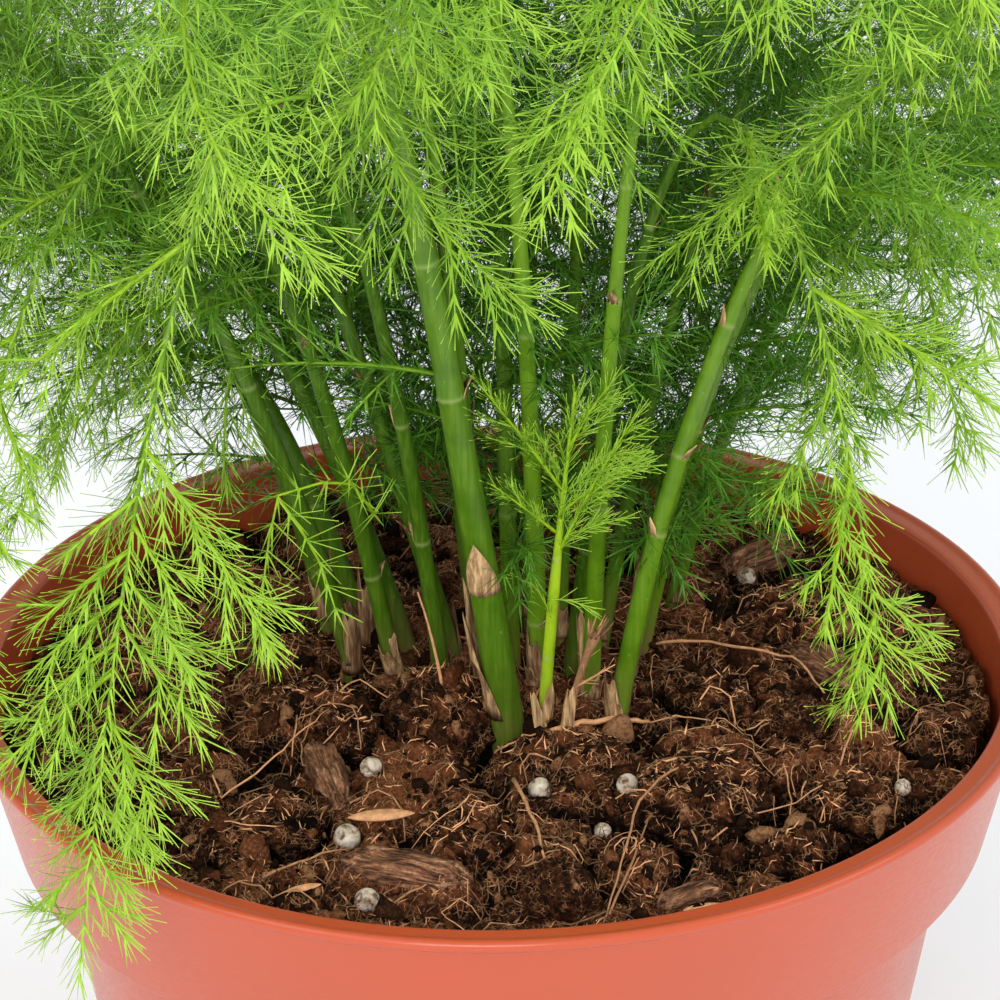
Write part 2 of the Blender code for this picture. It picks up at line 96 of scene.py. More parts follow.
# Seeds of the noise and of the random draws
NOISE_SEED = 13
CRUMB_SEED = 31
FIBRE_SEED = 57
THREAD_SEED = 83
SCALE_SEED = 404
JOINT_SEED = 700
FROND_SEED = 900
LIME_SHOOT_SEED = 951
DRIED_SHOOT_SEED = 952
LAYOUT_SEED = 1400

# Pot: radius and height up the outside to the foot of the lip, and down the inside from the lip
POT_OUTSIDE = ((42.9, 0.0), (44.1, 1.2), (56.1, 80.0), (60.4, 81.0), (64.1, 98.1))
POT_INSIDE = (
    (63.6, 99.6), (62.1, 99.6), (61.6, 99.35), (61.4, 98.7), (60.9, 90.0), (59.1, 82.6), (54.6, 80.6),
    (42.8, 3.0), (41.7, 1.8))
LIP_CENTRE = (64.4, 99.2)
LIP_RADIUS = 0.72
# The lip's round outside, in degrees from the level
LIP_START = -58.0
LIP_TURN = 170.0
LIP_STEPS = 12
# Edges that turn by more than an angle are eased, and those that turn by more than another look sharp
EASED_EDGE = 0.3
EASED_ANGLE = math.radians(24.0)
SHARP_ANGLE = math.radians(40.0)

# Soil
SOIL_FLOOR = 2.1
SOIL_RADIUS = 60.3
SOIL_LEVEL = 92.6
SOIL_SIDE_GAP = 0.35
SOIL_RINGS = ((59.1, 88.0), (58.9, 82.9), (54.5, 80.5), (41.9, SOIL_FLOOR))
SOIL_SEED_PLACE = Vector((31.7, 4.3, 8.1))
# Waves and crumbs of the solid's top: height and rate
SOIL_WAVE, SOIL_WAVE_RATE = 2.2, 0.085
SOIL_CRUMB, SOIL_CRUMB_RATE = 1.2, 0.21
# Round clods packed together, and the grit on them: size and rise
CLOD_SIZES = ((9.5, 4.6), (3.9, 2.3), (1.9, 1.1))
GRIT_SIZES = ((0.9, 0.5), (0.45, 0.25))
# The crease round a mound: its depth, and its place and half width in radii of the mound
CREASE_DEPTH, CREASE_AT, CREASE_HALF = 3.4, 1.08, 0.32
# How far off the soil still fits itself to a grain or a chip, and how steeply it rises in front and elsewhere
SEAT_REACH = 12.0
FRONT_RISE, SIDE_RISE = 0.55, 2.4
# Near its edge the soil is calm: from which share of its radius, over which share, and how high
CALM_FROM, CALM_WIDTH, CALM_HEIGHT = 0.93, 0.07, 1.5
# The height over which the soil goes from dark hollows to brown tops; the dark of the hollows is partly
# moister peat and partly painted shade
RISE_SPAN = 5.5
# How far from the middle crumbs, fibres and threads lie
CRUMB_REACH, FIBRE_REACH, THREAD_REACH = 58.5, 59.0, 58.0
# How far a fibre tilts off the ground's slope, and how a thread curls and lifts
FIBRE_TILT = 0.5
THREAD_CURL, THREAD_LIFT = 0.32, 1.3
CROWN_LEVEL = 94.0
CROWN_CENTRE = Vector((0.0, 4.0, 0.0))
CROWN_SPREAD = 25.0
ROOT_DEPTH = 10.0
CLODS = (
    # x, y, radius, height
    (-26.0, -4.0, 12.0, 5.0),
    (-9.5, -19.0, 11.0, 5.5),
    (24.0, -21.0, 13.0, 4.5),
    (-4.0, -36.0, 12.0, 3.5),
    (13.0, -45.0, 10.0, 3.0),
    (-34.0, -24.0, 11.0, 3.5),
    (43.0, -17.0, 11.0, 3.5),
    (38.0, 17.0, 12.0, 3.5),
    (-41.0, 14.0, 12.0, 3.0),
    (10.0, 42.0, 13.0, 3.5),
    (-22.0, 41.0, 12.0, 3.0),
)
# Clods that stand out of the soil's top: x, y, radius, rise
MOUNDS = (
    (-6.9, -6.9, 6.8, 6.5),
    (-23.3, -7.2, 8.6, 4.2),
    (7.3, -18.8, 9.4, 3.4),
    (-4.2, -34.2, 5.6, 3.8),
    (-26.4, -30.4, 5.6, 3.6),
    (-31.7, -34.0, 4.7, 2.8),
    (22.9, -26.3, 8.6, 4.8),
    (40.6, -27.0, 6.2, 2.8),
    (53.0, -13.5, 5.2, 3.2),
    (33.0, -39.1, 4.2, 3.2),
    (25.7, -1.7, 5.2, 2.6),
    (15.1, -40.1, 4.9, 2.2),
    (-44.0, 8.0, 7.0, 3.6),
    (38.0, 18.0, 8.0, 3.8),
    (12.0, 44.0, 8.0, 3.8),
    (-24.0, 42.0, 7.5, 3.4),
)

# Stems: the layout rule of the solids, repeated
CURVE_STEPS = 48
BARE_ROOM = 1.0
SWERVE = math.radians(41.0)
TRIES = 9

Habit = namedtuple("Habit", "forks twig_length twig_angle twig_sag twig_radius first_whorl needle")
GROWN = Habit((0.46, 0.62, 0.78), 60.0, 54.0, 0.24, 0.5, 13.0, 7.2)
FRONT = GROWN._replace(forks=(0.50, 0.66, 0.82), twig_length=42.0)
HANGING = GROWN._replace(
    forks=(0.60, 0.71, 0.83), twig_length=27.0, twig_angle=46.0, twig_sag=0.1, first_whorl=7.0)
YOUNG = Habit((), 0.0, 0.0, 0.0, 0.4, 3.6, 2.6)
DRY = Habit((0.62,), 7.0, 40.0, 0.0, 0.4, 4.0, 2.4)

# A stem is half as thick at a distance of TAPER_LENGTH above the soil as at its foot
TAPER_LENGTH = 125.0
TAPER_POWER = 1.2
THINNEST_STEM = 0.4

Frond = namedtuple("Frond", "x y heading lean rise reach tip_height radius habit")
FRONDS = {
    # Base x and y, heading, lean at the base, rise to the bend, reach and height of the tip, thickness
    "frond_01": Frond(0.8, -8.5, 205, 7.5, 150, 46, 284, 2.15, GROWN),
    "frond_02": Frond(4.8, -1.0, 256, 2.5, 165, 93, 192, 1.3, FRONT),
    "frond_03": Frond(11.0, -3.5, 286, 6.5, 165, 88, 204, 1.2, FRONT),
    "frond_04": Frond(14.0, -9.0, 354, 8.5, 120, 92, 210, 1.25, GROWN),
    "frond_05": Frond(15.5, 1.0, 4, 10, 120, 104, 190, 1.2, GROWN),
    "frond_06": Frond(-5.5, 7.0, 186, 14, 130, 60, 280, 1.2, GROWN),
    "frond_07": Frond(-18.5, 6.5, 194, 12, 120, 108, 214, 1.2, GROWN),
    "frond_08": Frond(-11.5, 10.0, 178, 14, 110, 120, 190, 1.2, GROWN),
    "frond_09": Frond(-17.0, 13.0, 166, 14, 100, 120, 146, 1.2, GROWN),
    "frond_10": Frond(-22.0, 18.0, 150, 12, 75, 106, 172, 1.1, GROWN),
    "frond_11": Frond(-2.0, 0.5, 250, 5, 165, 90, 196, 1.1, FRONT),
    "frond_12": Frond(1.5, 6.0, 98, 4, 140, 34, 322, 1.2, GROWN),
    "frond_13": Frond(9.0, 4.0, 307, 9, 150, 56, 112, 1.1, HANGING),
    "frond_14": Frond(18.0, 9.5, 12, 11, 120, 96, 232, 1.1, GROWN),
    "frond_15": Frond(7.5, 12.0, 70, 8, 140, 68, 302, 1.1, GROWN),
    "frond_16": Frond(-1.5, 13.0, 122, 7, 135, 80, 288, 1.1, GROWN),
    "frond_17": Frond(13.0, 11.0, 40, 12, 115, 104, 222, 1.0, GROWN),
    "frond_18": Frond(-8.0, 16.5, 132, 13, 120, 112, 208, 1.1, GROWN),
    "frond_19": Frond(4.0, 17.5, 86, 12, 125, 108, 232, 1.0, GROWN),
    "frond_20": Frond(22.5, 21.0, 26, 14, 92, 104, 150, 1.0, GROWN),
    "frond_21": Frond(-15.0, 20.5, 138, 16, 90, 112, 140, 1.0, GROWN),
    "frond_22": Frond(-3.5, 20.5, 108, 16, 95, 118, 158, 1.0, GROWN),
    "frond_23": Frond(11.0, 19.0, 62, 15, 92, 116, 150, 1.0, GROWN),
    "frond_24": Frond(-7.0, 1.0, 237, 9, 170, 71, 92, 1.1, HANGING),
    "frond_25": Frond(-13.0, 3.5, 214, 10, 150, 63, 104, 1.15, HANGING),
    "young_shoot": Frond(5.0, -12.2, 350, 4, 26, 4.2, 139.5, 1.0, YOUNG),
    "dry_shoot": Frond(7.6, -13.7, 5, 8, 10, 5.2, 111.5, 0.7, DRY),
}

# Twigs that are given one by one: frond, height of the fork, middle of the arch, tip
SPRIGS = (
    ("frond_24", 118.0, (-22.0, -10.0, 131.0), (-28.0, -19.0, 107.0)),
    ("frond_01", 137.0, (-17.0, -16.0, 146.0), (-29.5, -15.0, 144.0)),
    ("young_shoot", 118.0, (11.8, -15.5, 131.5), (16.4, -17.0, 139.0)),
    ("young_shoot", 121.0, (4.0, -14.5, 125.0), (-0.6, -16.0, 129.5)),
    ("young_shoot", 123.6, (10.6, -13.2, 128.0), (16.6, -13.7, 129.8)),
    ("young_shoot", 126.2, (4.4, -13.5, 132.5), (-1.8, -15.5, 141.8)),
    ("young_shoot", 131.8, (10.0, -13.8, 137.0), (13.6, -15.0, 142.0)),
)

# Leafing: how far a stem stays bare, the spacing and lengths of side twigs and twiglets, and their needles
Leafing = namedtuple(
    "Leafing", "bare spacing longest shortest twiglet_spacing twiglet_share twiglet_longest "
    "first pitch needles needle lean fork")
SIDE_ROW = Leafing(64.0, 4.6, 54.0, 14.0, 3.4, 0.52, 20.0, 3.0, 2.7, 6, 5.3, 52.0, 47.0)
FRONT_ROW = SIDE_ROW._replace(bare=100.0, spacing=6.4, longest=34.0)
BACK_ROW = SIDE_ROW._replace(bare=14.0, spacing=5.0)
TRAILING = Leafing(136.0, 3.0, 17.0, 6.5, 3.2, 0.4, 8.0, 1.2, 1.9, 6, 5.0, 40.0, 42.0)
RIGHT_TRAILING = TRAILING._replace(bare=140.0, longest=12.0, shortest=5.5, twiglet_longest=6.0)
FEATHER = SIDE_ROW._replace(
    twiglet_spacing=2.3, twiglet_share=0.42, twiglet_longest=9.5,
    first=2.0, pitch=2.1, needle=5.0, lean=44.0, fork=42.0)
SPARSE = FEATHER._replace(first=3.0, pitch=3.2, needles=8, needle=5.2, lean=64.0)
SHOOT = Leafing(200.0, 9.0, 9.0, 9.0, 2.0, 0.5, 8.0, 1.2, 1.2, 4, 3.1, 36.0, 36.0)
WITHERED = SHOOT._replace(needle=2.2, needles=2, pitch=2.4, lean=50.0)
LEAFING = {
    "frond_01": FRONT_ROW._replace(bare=78.0, spacing=5.0),
    "frond_02": FRONT_ROW,
    "frond_03": FRONT_ROW,
    "frond_04": SIDE_ROW._replace(bare=76.0),
    "frond_05": SIDE_ROW,
    "frond_06": BACK_ROW._replace(bare=48.0),
    "frond_07": BACK_ROW._replace(bare=50.0, spacing=3.8),
    "frond_08": BACK_ROW._replace(bare=48.0, spacing=3.8),
    "frond_09": BACK_ROW._replace(bare=36.0),
    "frond_10": BACK_ROW._replace(bare=30.0),
    "frond_11": FRONT_ROW,
    "frond_13": RIGHT_TRAILING,
    "frond_24": TRAILING,
    "frond_25": TRAILING._replace(bare=116.0),
}
# The front row's side twigs stay above a slope, so that the stems behind them show: its height over the
# middle, and its rise for each millimetre towards the back
FRONT_ROW_SLOPE = (166.0, -0.35)
# Feathers that hang down from the arches: frond, share of the stem, middle of the arch, tip, tone
FEATHERS = (
    ("frond_02", 0.66, (-1.5, -64.0, 207.0), (-15.0, -74.0, 191.0), 0.72),
    ("frond_02", 0.72, (1.0, -72.0, 208.0), (-0.4, -74.0, 196.5), 0.72),
    ("frond_03", 0.60, (15.0, -66.0, 212.0), (4.0, -86.0, 188.0), 0.76),
    ("frond_03", 0.70, (26.0, -62.0, 212.0), (25.0, -68.0, 196.0), 0.72),
    ("frond_03", 0.85, (42.0, -78.0, 212.0), (43.5, -80.0, 201.0), 0.72),
    ("frond_04", 0.72, (52.0, -34.0, 190.0), (16.5, -42.0, 167.0), 0.7),
    ("frond_11", 0.62, (-18.0, -60.0, 186.0), (4.6, -56.0, 166.5), 0.62),
    ("frond_11", 0.88, (-30.0, -82.0, 194.0), (-14.0, -84.0, 183.5), 0.66),
    ("frond_13", 0.77, (34.0, -33.0, 142.0), (28.6, -35.0, 134.5), 0.74),
    ("frond_05", 0.50, (47.0, -14.0, 164.0), (53.6, -15.0, 130.0), 0.62),
    ("frond_05", 0.42, (40.0, -9.0, 160.0), (44.5, -8.0, 134.0), 0.6),
    ("frond_04", 0.52, (50.0, -20.0, 172.0), (55.6, -22.0, 146.5), 0.56),
    ("frond_07", 0.36, (-42.0, 1.0, 146.0), (-53.3, 0.0, 124.6), 0.62),
    ("frond_08", 0.31, (-33.0, 5.0, 141.0), (-32.8, 4.0, 120.0), 0.58),
    ("frond_09", 0.40, (-48.0, 9.0, 142.0), (-59.8, 6.0, 113.0), 0.62),
    ("frond_09", 0.34, (-41.0, 12.0, 136.0), (-46.0, 14.0, 111.0), 0.56),
    ("frond_20", 0.36, (42.0, 18.0, 134.0), (44.0, 16.0, 112.0), 0.78),
)
# Open sprigs with a whorl at each joint, in place of the first twig of frond_24
SPARSE_SPRIGS = (
    ((-14.0, -4.0, 119.0), (-17.3, -12.0, 129.0), (-25.0, -16.0, 128.5), (-26.5, -16.5, 122.0),
     (-27.6, -17.0, 114.0), (-28.2, -17.0, 107.0)),
    ((-25.0, -16.0, 128.2), (-22.7, -16.0, 124.4), (-20.4, -16.0, 119.5), (-18.5, -16.0, 111.6)),
)
# Below this height, which is what the photo shows, side twigs stand closer than above it
LOW_FOLIAGE = 186.0
LOW_SPACING, HIGH_SPACING = 0.82, 1.5
# Side twigs that fill a stem: room to the stem's tip and to a fork, and how far they sway out of line
TIP_ROOM = 6.0
FORK_ROOM = 3.0
UPRIGHT_SWAY, HANGING_SWAY = 0.75, 0.3
# A side twig that is in the way is turned and shortened, this often at most
FILL_TRIES = 5
FILL_SWERVE = 1.3
FILL_SHRINK = 0.88
# Radii of side twigs: of those that are given one by one, and of those that fill the stem at its first one
HAND_TWIG = 0.24
FILLING_TWIG = 0.32
# Lightness of stems and leaves, from 0 for old and dark to 1 for new and yellow-green. The darkest stem tones
# (frond_06 to frond_08, frond_13, frond_24, frond_25) and the back row's tone are partly painted shade among
# the stems.
STEM_TONE = {
    "frond_01": 0.24, "frond_02": 0.5, "frond_03": 0.42, "frond_04": 0.38, "frond_05": 0.34,
    "frond_06": 0.12, "frond_07": 0.14, "frond_08": 0.13, "frond_09": 0.2, "frond_10": 0.2, "frond_11": 0.24,
    "frond_13": 0.12, "frond_24": 0.15, "frond_25": 0.17, "young_shoot": 0.95,
}
LEAF_TONE = {
    "frond_01": 0.36, "frond_02": 0.46, "frond_03": 0.46, "frond_04": 0.42, "frond_05": 0.42,
    "frond_06": 0.42, "frond_07": 0.5, "frond_08": 0.5, "frond_09": 0.46, "frond_10": 0.46,
    "frond_11": 0.36, "frond_13": 0.84, "frond_24": 0.8, "frond_25": 0.76, "young_shoot": 1.05,
}
BACK_TONE = 0.3
SPRIG_TONE = 1.0
WITHERED_TONE = 0.75

# Where no leaf may be: radii of the pot's wall with some room, and heights below the rim and in the soil
WALL_CLEAR = (60.0, 66.5)
RIM_CLEAR = 101.0
SOIL_CLEAR = 95.0
# How far leaves may stand outside the box of the solids
BOX_ROOM = 7.0

# Heights of the joints that the photo shows, one list a stem
JOINTS = {
    "frond_01": (138.6,),
    "frond_02": (104.0, 143.7),
    "frond_03": (122.2, 150.7),
    "frond_04": (119.8, 130.0, 146.5),
    "frond_05": (115.6, 127.9),
    "frond_24": (115.5,),
}
# Papery scales: frond, height of the foot, heading that it faces, kind (0 pointed, 1 torn sheath), length
SHEATHS = (
    ("frond_01", 112.8, 262.0, 0, 7.4),
    ("frond_01", 95.5, 172.0, 1, 13.0),
    ("frond_02", 94.0, 250.0, 1, 7.0),
    ("frond_03", 94.0, 215.0, 1, 12.0),
    ("frond_04", 93.0, 245.0, 1, 7.0),
    ("frond_05", 98.0, 215.0, 1, 14.0),
    ("frond_24", 93.0, 200.0, 1, 6.0),
    ("frond_25", 93.0, 262.0, 1, 7.0),
    ("frond_09", 93.0, 280.0, 1, 9.0),
    ("frond_07", 93.0, 265.0, 1, 8.0),
    ("young_shoot", 96.5, 300.0, 0, 5.5),
    ("young_shoot", 94.0, 210.0, 1, 6.0),
    ("dry_shoot", 95.0, 250.0, 1, 6.5),
)
# The young shoot: heights of its joints, and heights with its radius at each
SHOOT_JOINTS = (105.0, 118.0)
SHOOT_THICKNESS = ((94.0, 114.0, 121.0, 128.0, 139.0), (0.78, 0.7, 0.46, 0.28, 0.16))
# Twigs of the young shoot that are too fine for the solids: radius, then start, middle and tip
SHOOT_TWIGS = (
    (0.20, (11.9, -14.0, 131.0), (14.2, -14.5, 132.1), (16.7, -15.0, 132.2)),
    (0.13, (5.8, -13.0, 112.9), (9.0, -13.4, 113.3), (10.7, -13.6, 111.8)),
    (0.13, (6.3, -13.0, 110.2), (4.6, -13.4, 115.4), (3.1, -13.6, 115.8)),
)

# Height at which the dried shoot is broken off
DRIED_TOP = 108.6

# Lifts, radii and lightness of the straws and roots that lie on the soil, and the places that they pass
Straw = namedtuple("Straw", "lift radius tone places")
STRAWS = (
    Straw(1.6, 0.24, 0.8, ((19.0, 9.2), (25.0, 8.2), (31.7, 3.6), (36.8, 1.7), (40.2, -9.0))),
    Straw(1.8, 0.17, 0.8, ((45.1, -4.6), (40.3, -20.2), (36.2, -32.6))),
    Straw(1.2, 0.28, 0.75, ((1.4, -23.7), (3.6, -33.3), (4.9, -40.4))),
    Straw(2.0, 0.2, 0.65, ((23.3, -23.8), (17.7, -29.7), (15.9, -33.7), (11.1, -52.3))),
    Straw(1.4, 0.48, 0.85, ((5.4, -14.5), (11.9, -11.6), (15.4, -9.6), (18.1, -7.2))),
    Straw(0.8, 0.15, 0.8, ((18.1, -7.2), (21.8, -7.5), (26.3, -8.9))),
    Straw(1.0, 0.2, 0.65, ((-26.9, -42.0), (-21.8, -39.5), (-16.8, -36.1))),
    Straw(1.2, 0.14, 0.85, ((-32.9, -24.6), (-28.5, -21.6), (-25.0, -16.7), (-20.7, -9.4))),
    Straw(0.9, 0.14, 0.9, ((-20.8, -8.8), (-17.5, -2.7), (-13.7, -5.4))),
    Straw(0.8, 0.12, 0.8, ((-22.1, -14.1), (-15.8, -7.9))),
    Straw(0.8, 0.13, 0.8, ((-24.5, -10.4), (-25.2, -16.4))),
    Straw(0.8, 0.14, 0.8, ((26.7, 16.7), (25.1, 8.8))),
    Straw(0.8, 0.14, 0.75, ((32.9, -15.7), (33.5, -26.7), (33.2, -31.4))),
    Straw(0.6, 0.13, 0.75, ((23.8, -35.2), (30.5, -30.5), (38.5, -26.0), (45.1, -28.1))),
    Straw(0.8, 0.2, 0.75, ((37.2, -35.5), (35.2, -42.7))),
    Straw(0.8, 0.13, 0.8, ((3.1, -13.0), (5.7, -12.4), (8.7, -16.9), (12.1, -15.3))),
    Straw(0.8, 0.16, 0.75, ((-0.8, -14.8), (3.0, -14.4), (6.0, -13.2))),
    Straw(0.8, 0.18, 0.6, ((11.5, -52.2), (13.9, -44.8), (16.9, -31.7))),
    Straw(0.8, 0.18, 0.6, ((-13.6, -50.0), (-8.8, -46.0), (-4.0, -44.0))),
    Straw(1.0, 0.18, 0.6, ((-48.0, 6.0), (-41.0, 1.0), (-36.0, -6.0))),
    Straw(1.0, 0.2, 0.65, ((12.0, 44.0), (22.0, 40.0), (30.0, 42.0))),
    Straw(1.0, 0.18, 0.6, ((-30.0, 34.0), (-18.0, 40.0), (-10.0, 47.0))),
    Straw(1.0, 0.2, 0.7, ((40.0, 14.0), (44.0, 20.0), (41.0, 27.0))),
)
SPIKE = Straw(0.0, 0.28, 0.85, ((-9.6, -8.0, 111.6), (-7.8, -8.2, 106.0), (-6.2, -9.0, 94.0)))
# Seed husks: x, y, heading, length
HUSKS = (
    (-13.8, -32.3, 6.0, 7.8), (-22.2, -44.8, 20.0, 4.3), (22.0, -50.0, 12.0, 5.0), (30.0, 20.0, 70.0, 5.0))
HUSK_LIFT = 0.5
HUSK_TONE = 0.8

# Lights, in metres: name, place, size, share of the main light's power
LAMPS = (
    ("main light", (-0.75, -0.55, 0.95), 0.7, 1.0),
    ("right light", (0.85, -0.35, 0.6), 0.6, 0.7),
    ("top light", (0.1, 0.5, 1.2), 0.9, 0.7),
    ("front light", (-0.12, -1.0, 0.66), 0.45, 1.35),
)
LIT_PLACE = Vector((0.0, 0.0, 0.14))
FLOOR_SIZE = 8.0
FLOOR_DROP = 0.0002

# Camera, in metres and radians: how far it stands from the rim's centre, and how it looks
RIM_CENTRE = Vector((0.0, 0.0, 0.1))
CAMERA_AWAY = 0.388
CAMERA_RAISED = math.radians(28.6)
CAMERA_PITCH = math.radians(-25.988)
CAMERA_YAW = math.radians(-0.064)
CAMERA_ROLL = math.radians(-0.93)


class PotSettings(bpy.types.PropertyGroup):
    """Sizes and colours of the pot"""
    steps: IntProperty(name="Steps", description="Facets round the pot", default=160, min=24)
    colour: FloatVectorProperty(
        name="Plastic", description="Colour of the pot's plastic", subtype="COLOR",
        default=(0.55, 0.082, 0.026), min=0.0, max=1.0)
    roughness: FloatProperty(
        name="Roughness", description="How matt the plastic is", subtype="FACTOR",
        default=0.34, min=0.0, max=1.0)


class SoilSettings(bpy.types.PropertyGroup):
    """Sizes and colours of the soil and of what lies in it"""
    cells: IntProperty(name="Cells", description="Cells across the soil's top", default=200, min=20)
    crumbs: IntProperty(name="Crumbs", description="Number of loose crumbs", default=2200, min=0)
    fibres: IntProperty(name="Fibres", description="Number of short curled fibres", default=13000, min=0)
    threads: IntProperty(name="Threads", description="Number of long roots and threads", default=300, min=0)
    dark: FloatVectorProperty(
        name="Dark soil", description="Colour in the hollows", subtype="COLOR",
        default=(0.022, 0.008, 0.0034), min=0.0, max=1.0)
    brown: FloatVectorProperty(
        name="Brown soil", description="Colour on the lumps", subtype="COLOR",
        default=(0.19, 0.061, 0.024), min=0.0, max=1.0)
    fibre: FloatVectorProperty(
        name="Fibre", description="Colour of the lightest fibres", subtype="COLOR",
        default=(1.0, 0.5, 0.24), min=0.0, max=1.0)


class PlantSettings(bpy.types.PropertyGroup):
    """Sizes and colours of the stems and needles"""
    needle_width: FloatProperty(
        name="Needle width", description="Width of a needle at its root, in millimetres",
        default=0.28, min=0.05)
    shade: FloatVectorProperty(
        name="Old needles", description="Colour of the oldest needles", subtype="COLOR",
        default=(0.04, 0.125, 0.008), min=0.0, max=1.0)
    green: FloatVectorProperty(
        name="Needles", description="Colour of most needles", subtype="COLOR",
        default=(0.12, 0.33, 0.022), min=0.0, max=1.0)
    tip: FloatVectorProperty(
        name="New needles", description="Colour of the newest needles", subtype="COLOR",
        default=(0.42, 0.68, 0.055), min=0.0, max=1.0)


class StageSettings(bpy.types.PropertyGroup):
    """The floor, the light and the camera"""
    lens: FloatProperty(
        name="Lens", description="Focal length of the camera, in millimetres", default=113.65, min=10.0)
    light: FloatProperty(name="Light", description="Power of the main light, in watts", default=3.4, min=0.0)
    surround: FloatProperty(
        name="Surround", description="Strength of the even light from all sides", default=0.8, min=0.0)


def drop_selection():
    """Leaves nothing selected, in object mode."""
    if bpy.context.object and bpy.context.object.mode != "OBJECT":
        bpy.ops.object.mode_set(mode="OBJECT")
    bpy.ops.object.select_all(action="DESELECT")


def pick(*pieces):
    """Selects pieces, the first of them active."""
    drop_selection()
    for piece in pieces:
        piece.select_set(True)
    bpy.context.view_layer.objects.active = pieces[0]


def edit_all():
    """Goes into edit mode with all of the active piece selected."""
    bpy.ops.object.mode_set(mode="EDIT")
    bpy.ops.mesh.select_all(action="SELECT")


def face_out():
    """Turns the selected faces outwards and goes back to object mode."""
    bpy.ops.mesh.normals_make_consistent(inside=False)
    bpy.ops.object.mode_set(mode="OBJECT")


def settle(piece, name, finishes=(), replaced=()):
    """Names a finished piece, applies its place, gives it its finish and hangs it on the root body."""
    pick(piece)
    bpy.ops.object.transform_apply(location=True, rotation=True, scale=True)
    piece.name = name
    piece.data.name = name
    for finish in finishes:
        piece.data.materials.append(finish)
    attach(piece, "root")
    if replaced:
        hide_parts(*replaced)
    return piece


def mesh_of(name, verts, faces, **values):
    """Makes an object from points in millimetres, triangles, and values for each point."""
    mesh = bpy.data.meshes.new(name)
    mesh.vertices.add(len(verts))
    mesh.vertices.foreach_set("co", (np.asarray(verts) * MM).astype(np.float32).ravel())
    mesh.loops.add(3 * len(faces))
    mesh.loops.foreach_set("vertex_index", np.asarray(faces).astype(np.int32).ravel())
    mesh.polygons.add(len(faces))
    mesh.polygons.foreach_set("loop_start", np.arange(0, 3 * len(faces), 3).astype(np.int32))
    mesh.update(calc_edges=True)
    for key, numbers in values.items():
        set_values(mesh, key, numbers)
    piece = bpy.data.objects.new(name, mesh)
    bpy.context.scene.collection.objects.link(piece)
    return piece


def set_values(mesh, key, numbers):
    """Keeps a number for each point of a mesh."""
    made = mesh.attributes.get(key) or mesh.attributes.new(key, "FLOAT", "POINT")
    made.data.foreach_set("value", np.asarray(numbers, np.float32))


def set_vectors(mesh, key, rows):
    """Keeps three numbers for each point of a mesh."""
    made = mesh.attributes.new(key, "FLOAT_VECTOR", "POINT")
    made.data.foreach_set("vector", np.asarray(rows, np.float32).ravel())


def points_of(mesh):
    """Points of a mesh, in metres."""
    co = np.zeros(3 * len(mesh.vertices), np.float32)
    mesh.vertices.foreach_get("co", co)
    return co.reshape(-1, 3).astype(float)


def move_points(mesh, rows):
    """Gives the points of a mesh new places, in millimetres."""
    mesh.vertices.foreach_set("co", (rows * MM).ravel())
    mesh.update()


def shape_of(piece):
    """Points and triangles of a model shape, which is then removed."""
    mesh = piece.data
    mesh.calc_loop_triangles()
    verts = points_of(mesh)
    faces = np.array([tuple(tri.vertices) for tri in mesh.loop_triangles])
    bpy.data.objects.remove(piece)
    return verts, faces


def copies(shape, places, axes):
    """Copies a model shape to places, each with its own three axes, and gives points and triangles."""
    verts, faces = shape
    placed = places[:, None, :] + np.einsum("vk,nkj->nvj", verts, axes)
    numbered = faces[None] + (np.arange(len(places)) * len(verts))[:, None, None]
    return placed.reshape(-1, 3), numbered.reshape(-1, 3)


def turned(draw, count, sizes):
    """Random turns as three axes each, of the given sizes."""
    spin = draw.normal(size=(count, 4))
    spin /= np.linalg.norm(spin, axis=1)[:, None]
    w, x, y, z = spin.T
    rows = np.stack([
        1 - 2 * (y * y + z * z), 2 * (x * y - z * w), 2 * (x * z + y * w),
        2 * (x * y + z * w), 1 - 2 * (x * x + z * z), 2 * (y * z - x * w),
        2 * (x * z - y * w), 2 * (y * z + x * w), 1 - 2 * (x * x + y * y)], axis=1)
    return rows.reshape(-1, 3, 3) * np.asarray(sizes)[:, None, None]


def tubes(name, sides, lines):
    """Draws tubes as one curve along an outline of some sides, and makes it a mesh.

    A line is its points and its radii in millimetres, and its tones and joints from 0 to 1."""
    drop_selection()
    bpy.ops.mesh.primitive_circle_add(vertices=sides, radius=MM)
    bpy.ops.object.convert(target="CURVE")
    outline = bpy.context.object
    drop_selection()
    bpy.ops.curve.primitive_nurbs_path_add()
    piece = bpy.context.object
    curve = piece.data
    curve.splines.clear()
    curve.dimensions = "3D"
    curve.twist_mode = "MINIMUM"
    curve.bevel_mode = "OBJECT"
    curve.bevel_object = outline
    for points, radii, _, _ in lines:
        spline = curve.splines.new("POLY")
        spline.points.add(len(points) - 1)
        spline.points.foreach_set("co", np.c_[np.asarray(points) * MM, np.ones(len(points))].ravel())
        spline.points.foreach_set("radius", radii)
    bpy.ops.object.convert(target="MESH")
    bpy.data.objects.remove(outline)
    mesh = piece.data
    for key, column in (("tone", 2), ("joint", 3)):
        set_values(mesh, key, np.repeat(np.concatenate([line[column] for line in lines]), sides))
    edit_all()
    bpy.ops.mesh.fill_holes(sides=sides)
    face_out()
    mesh.shade_smooth()
    piece.name = name
    return piece


def joined(*pieces):
    """Joins pieces into the first of them."""
    pick(*pieces)
    bpy.ops.object.join()
    return bpy.context.object


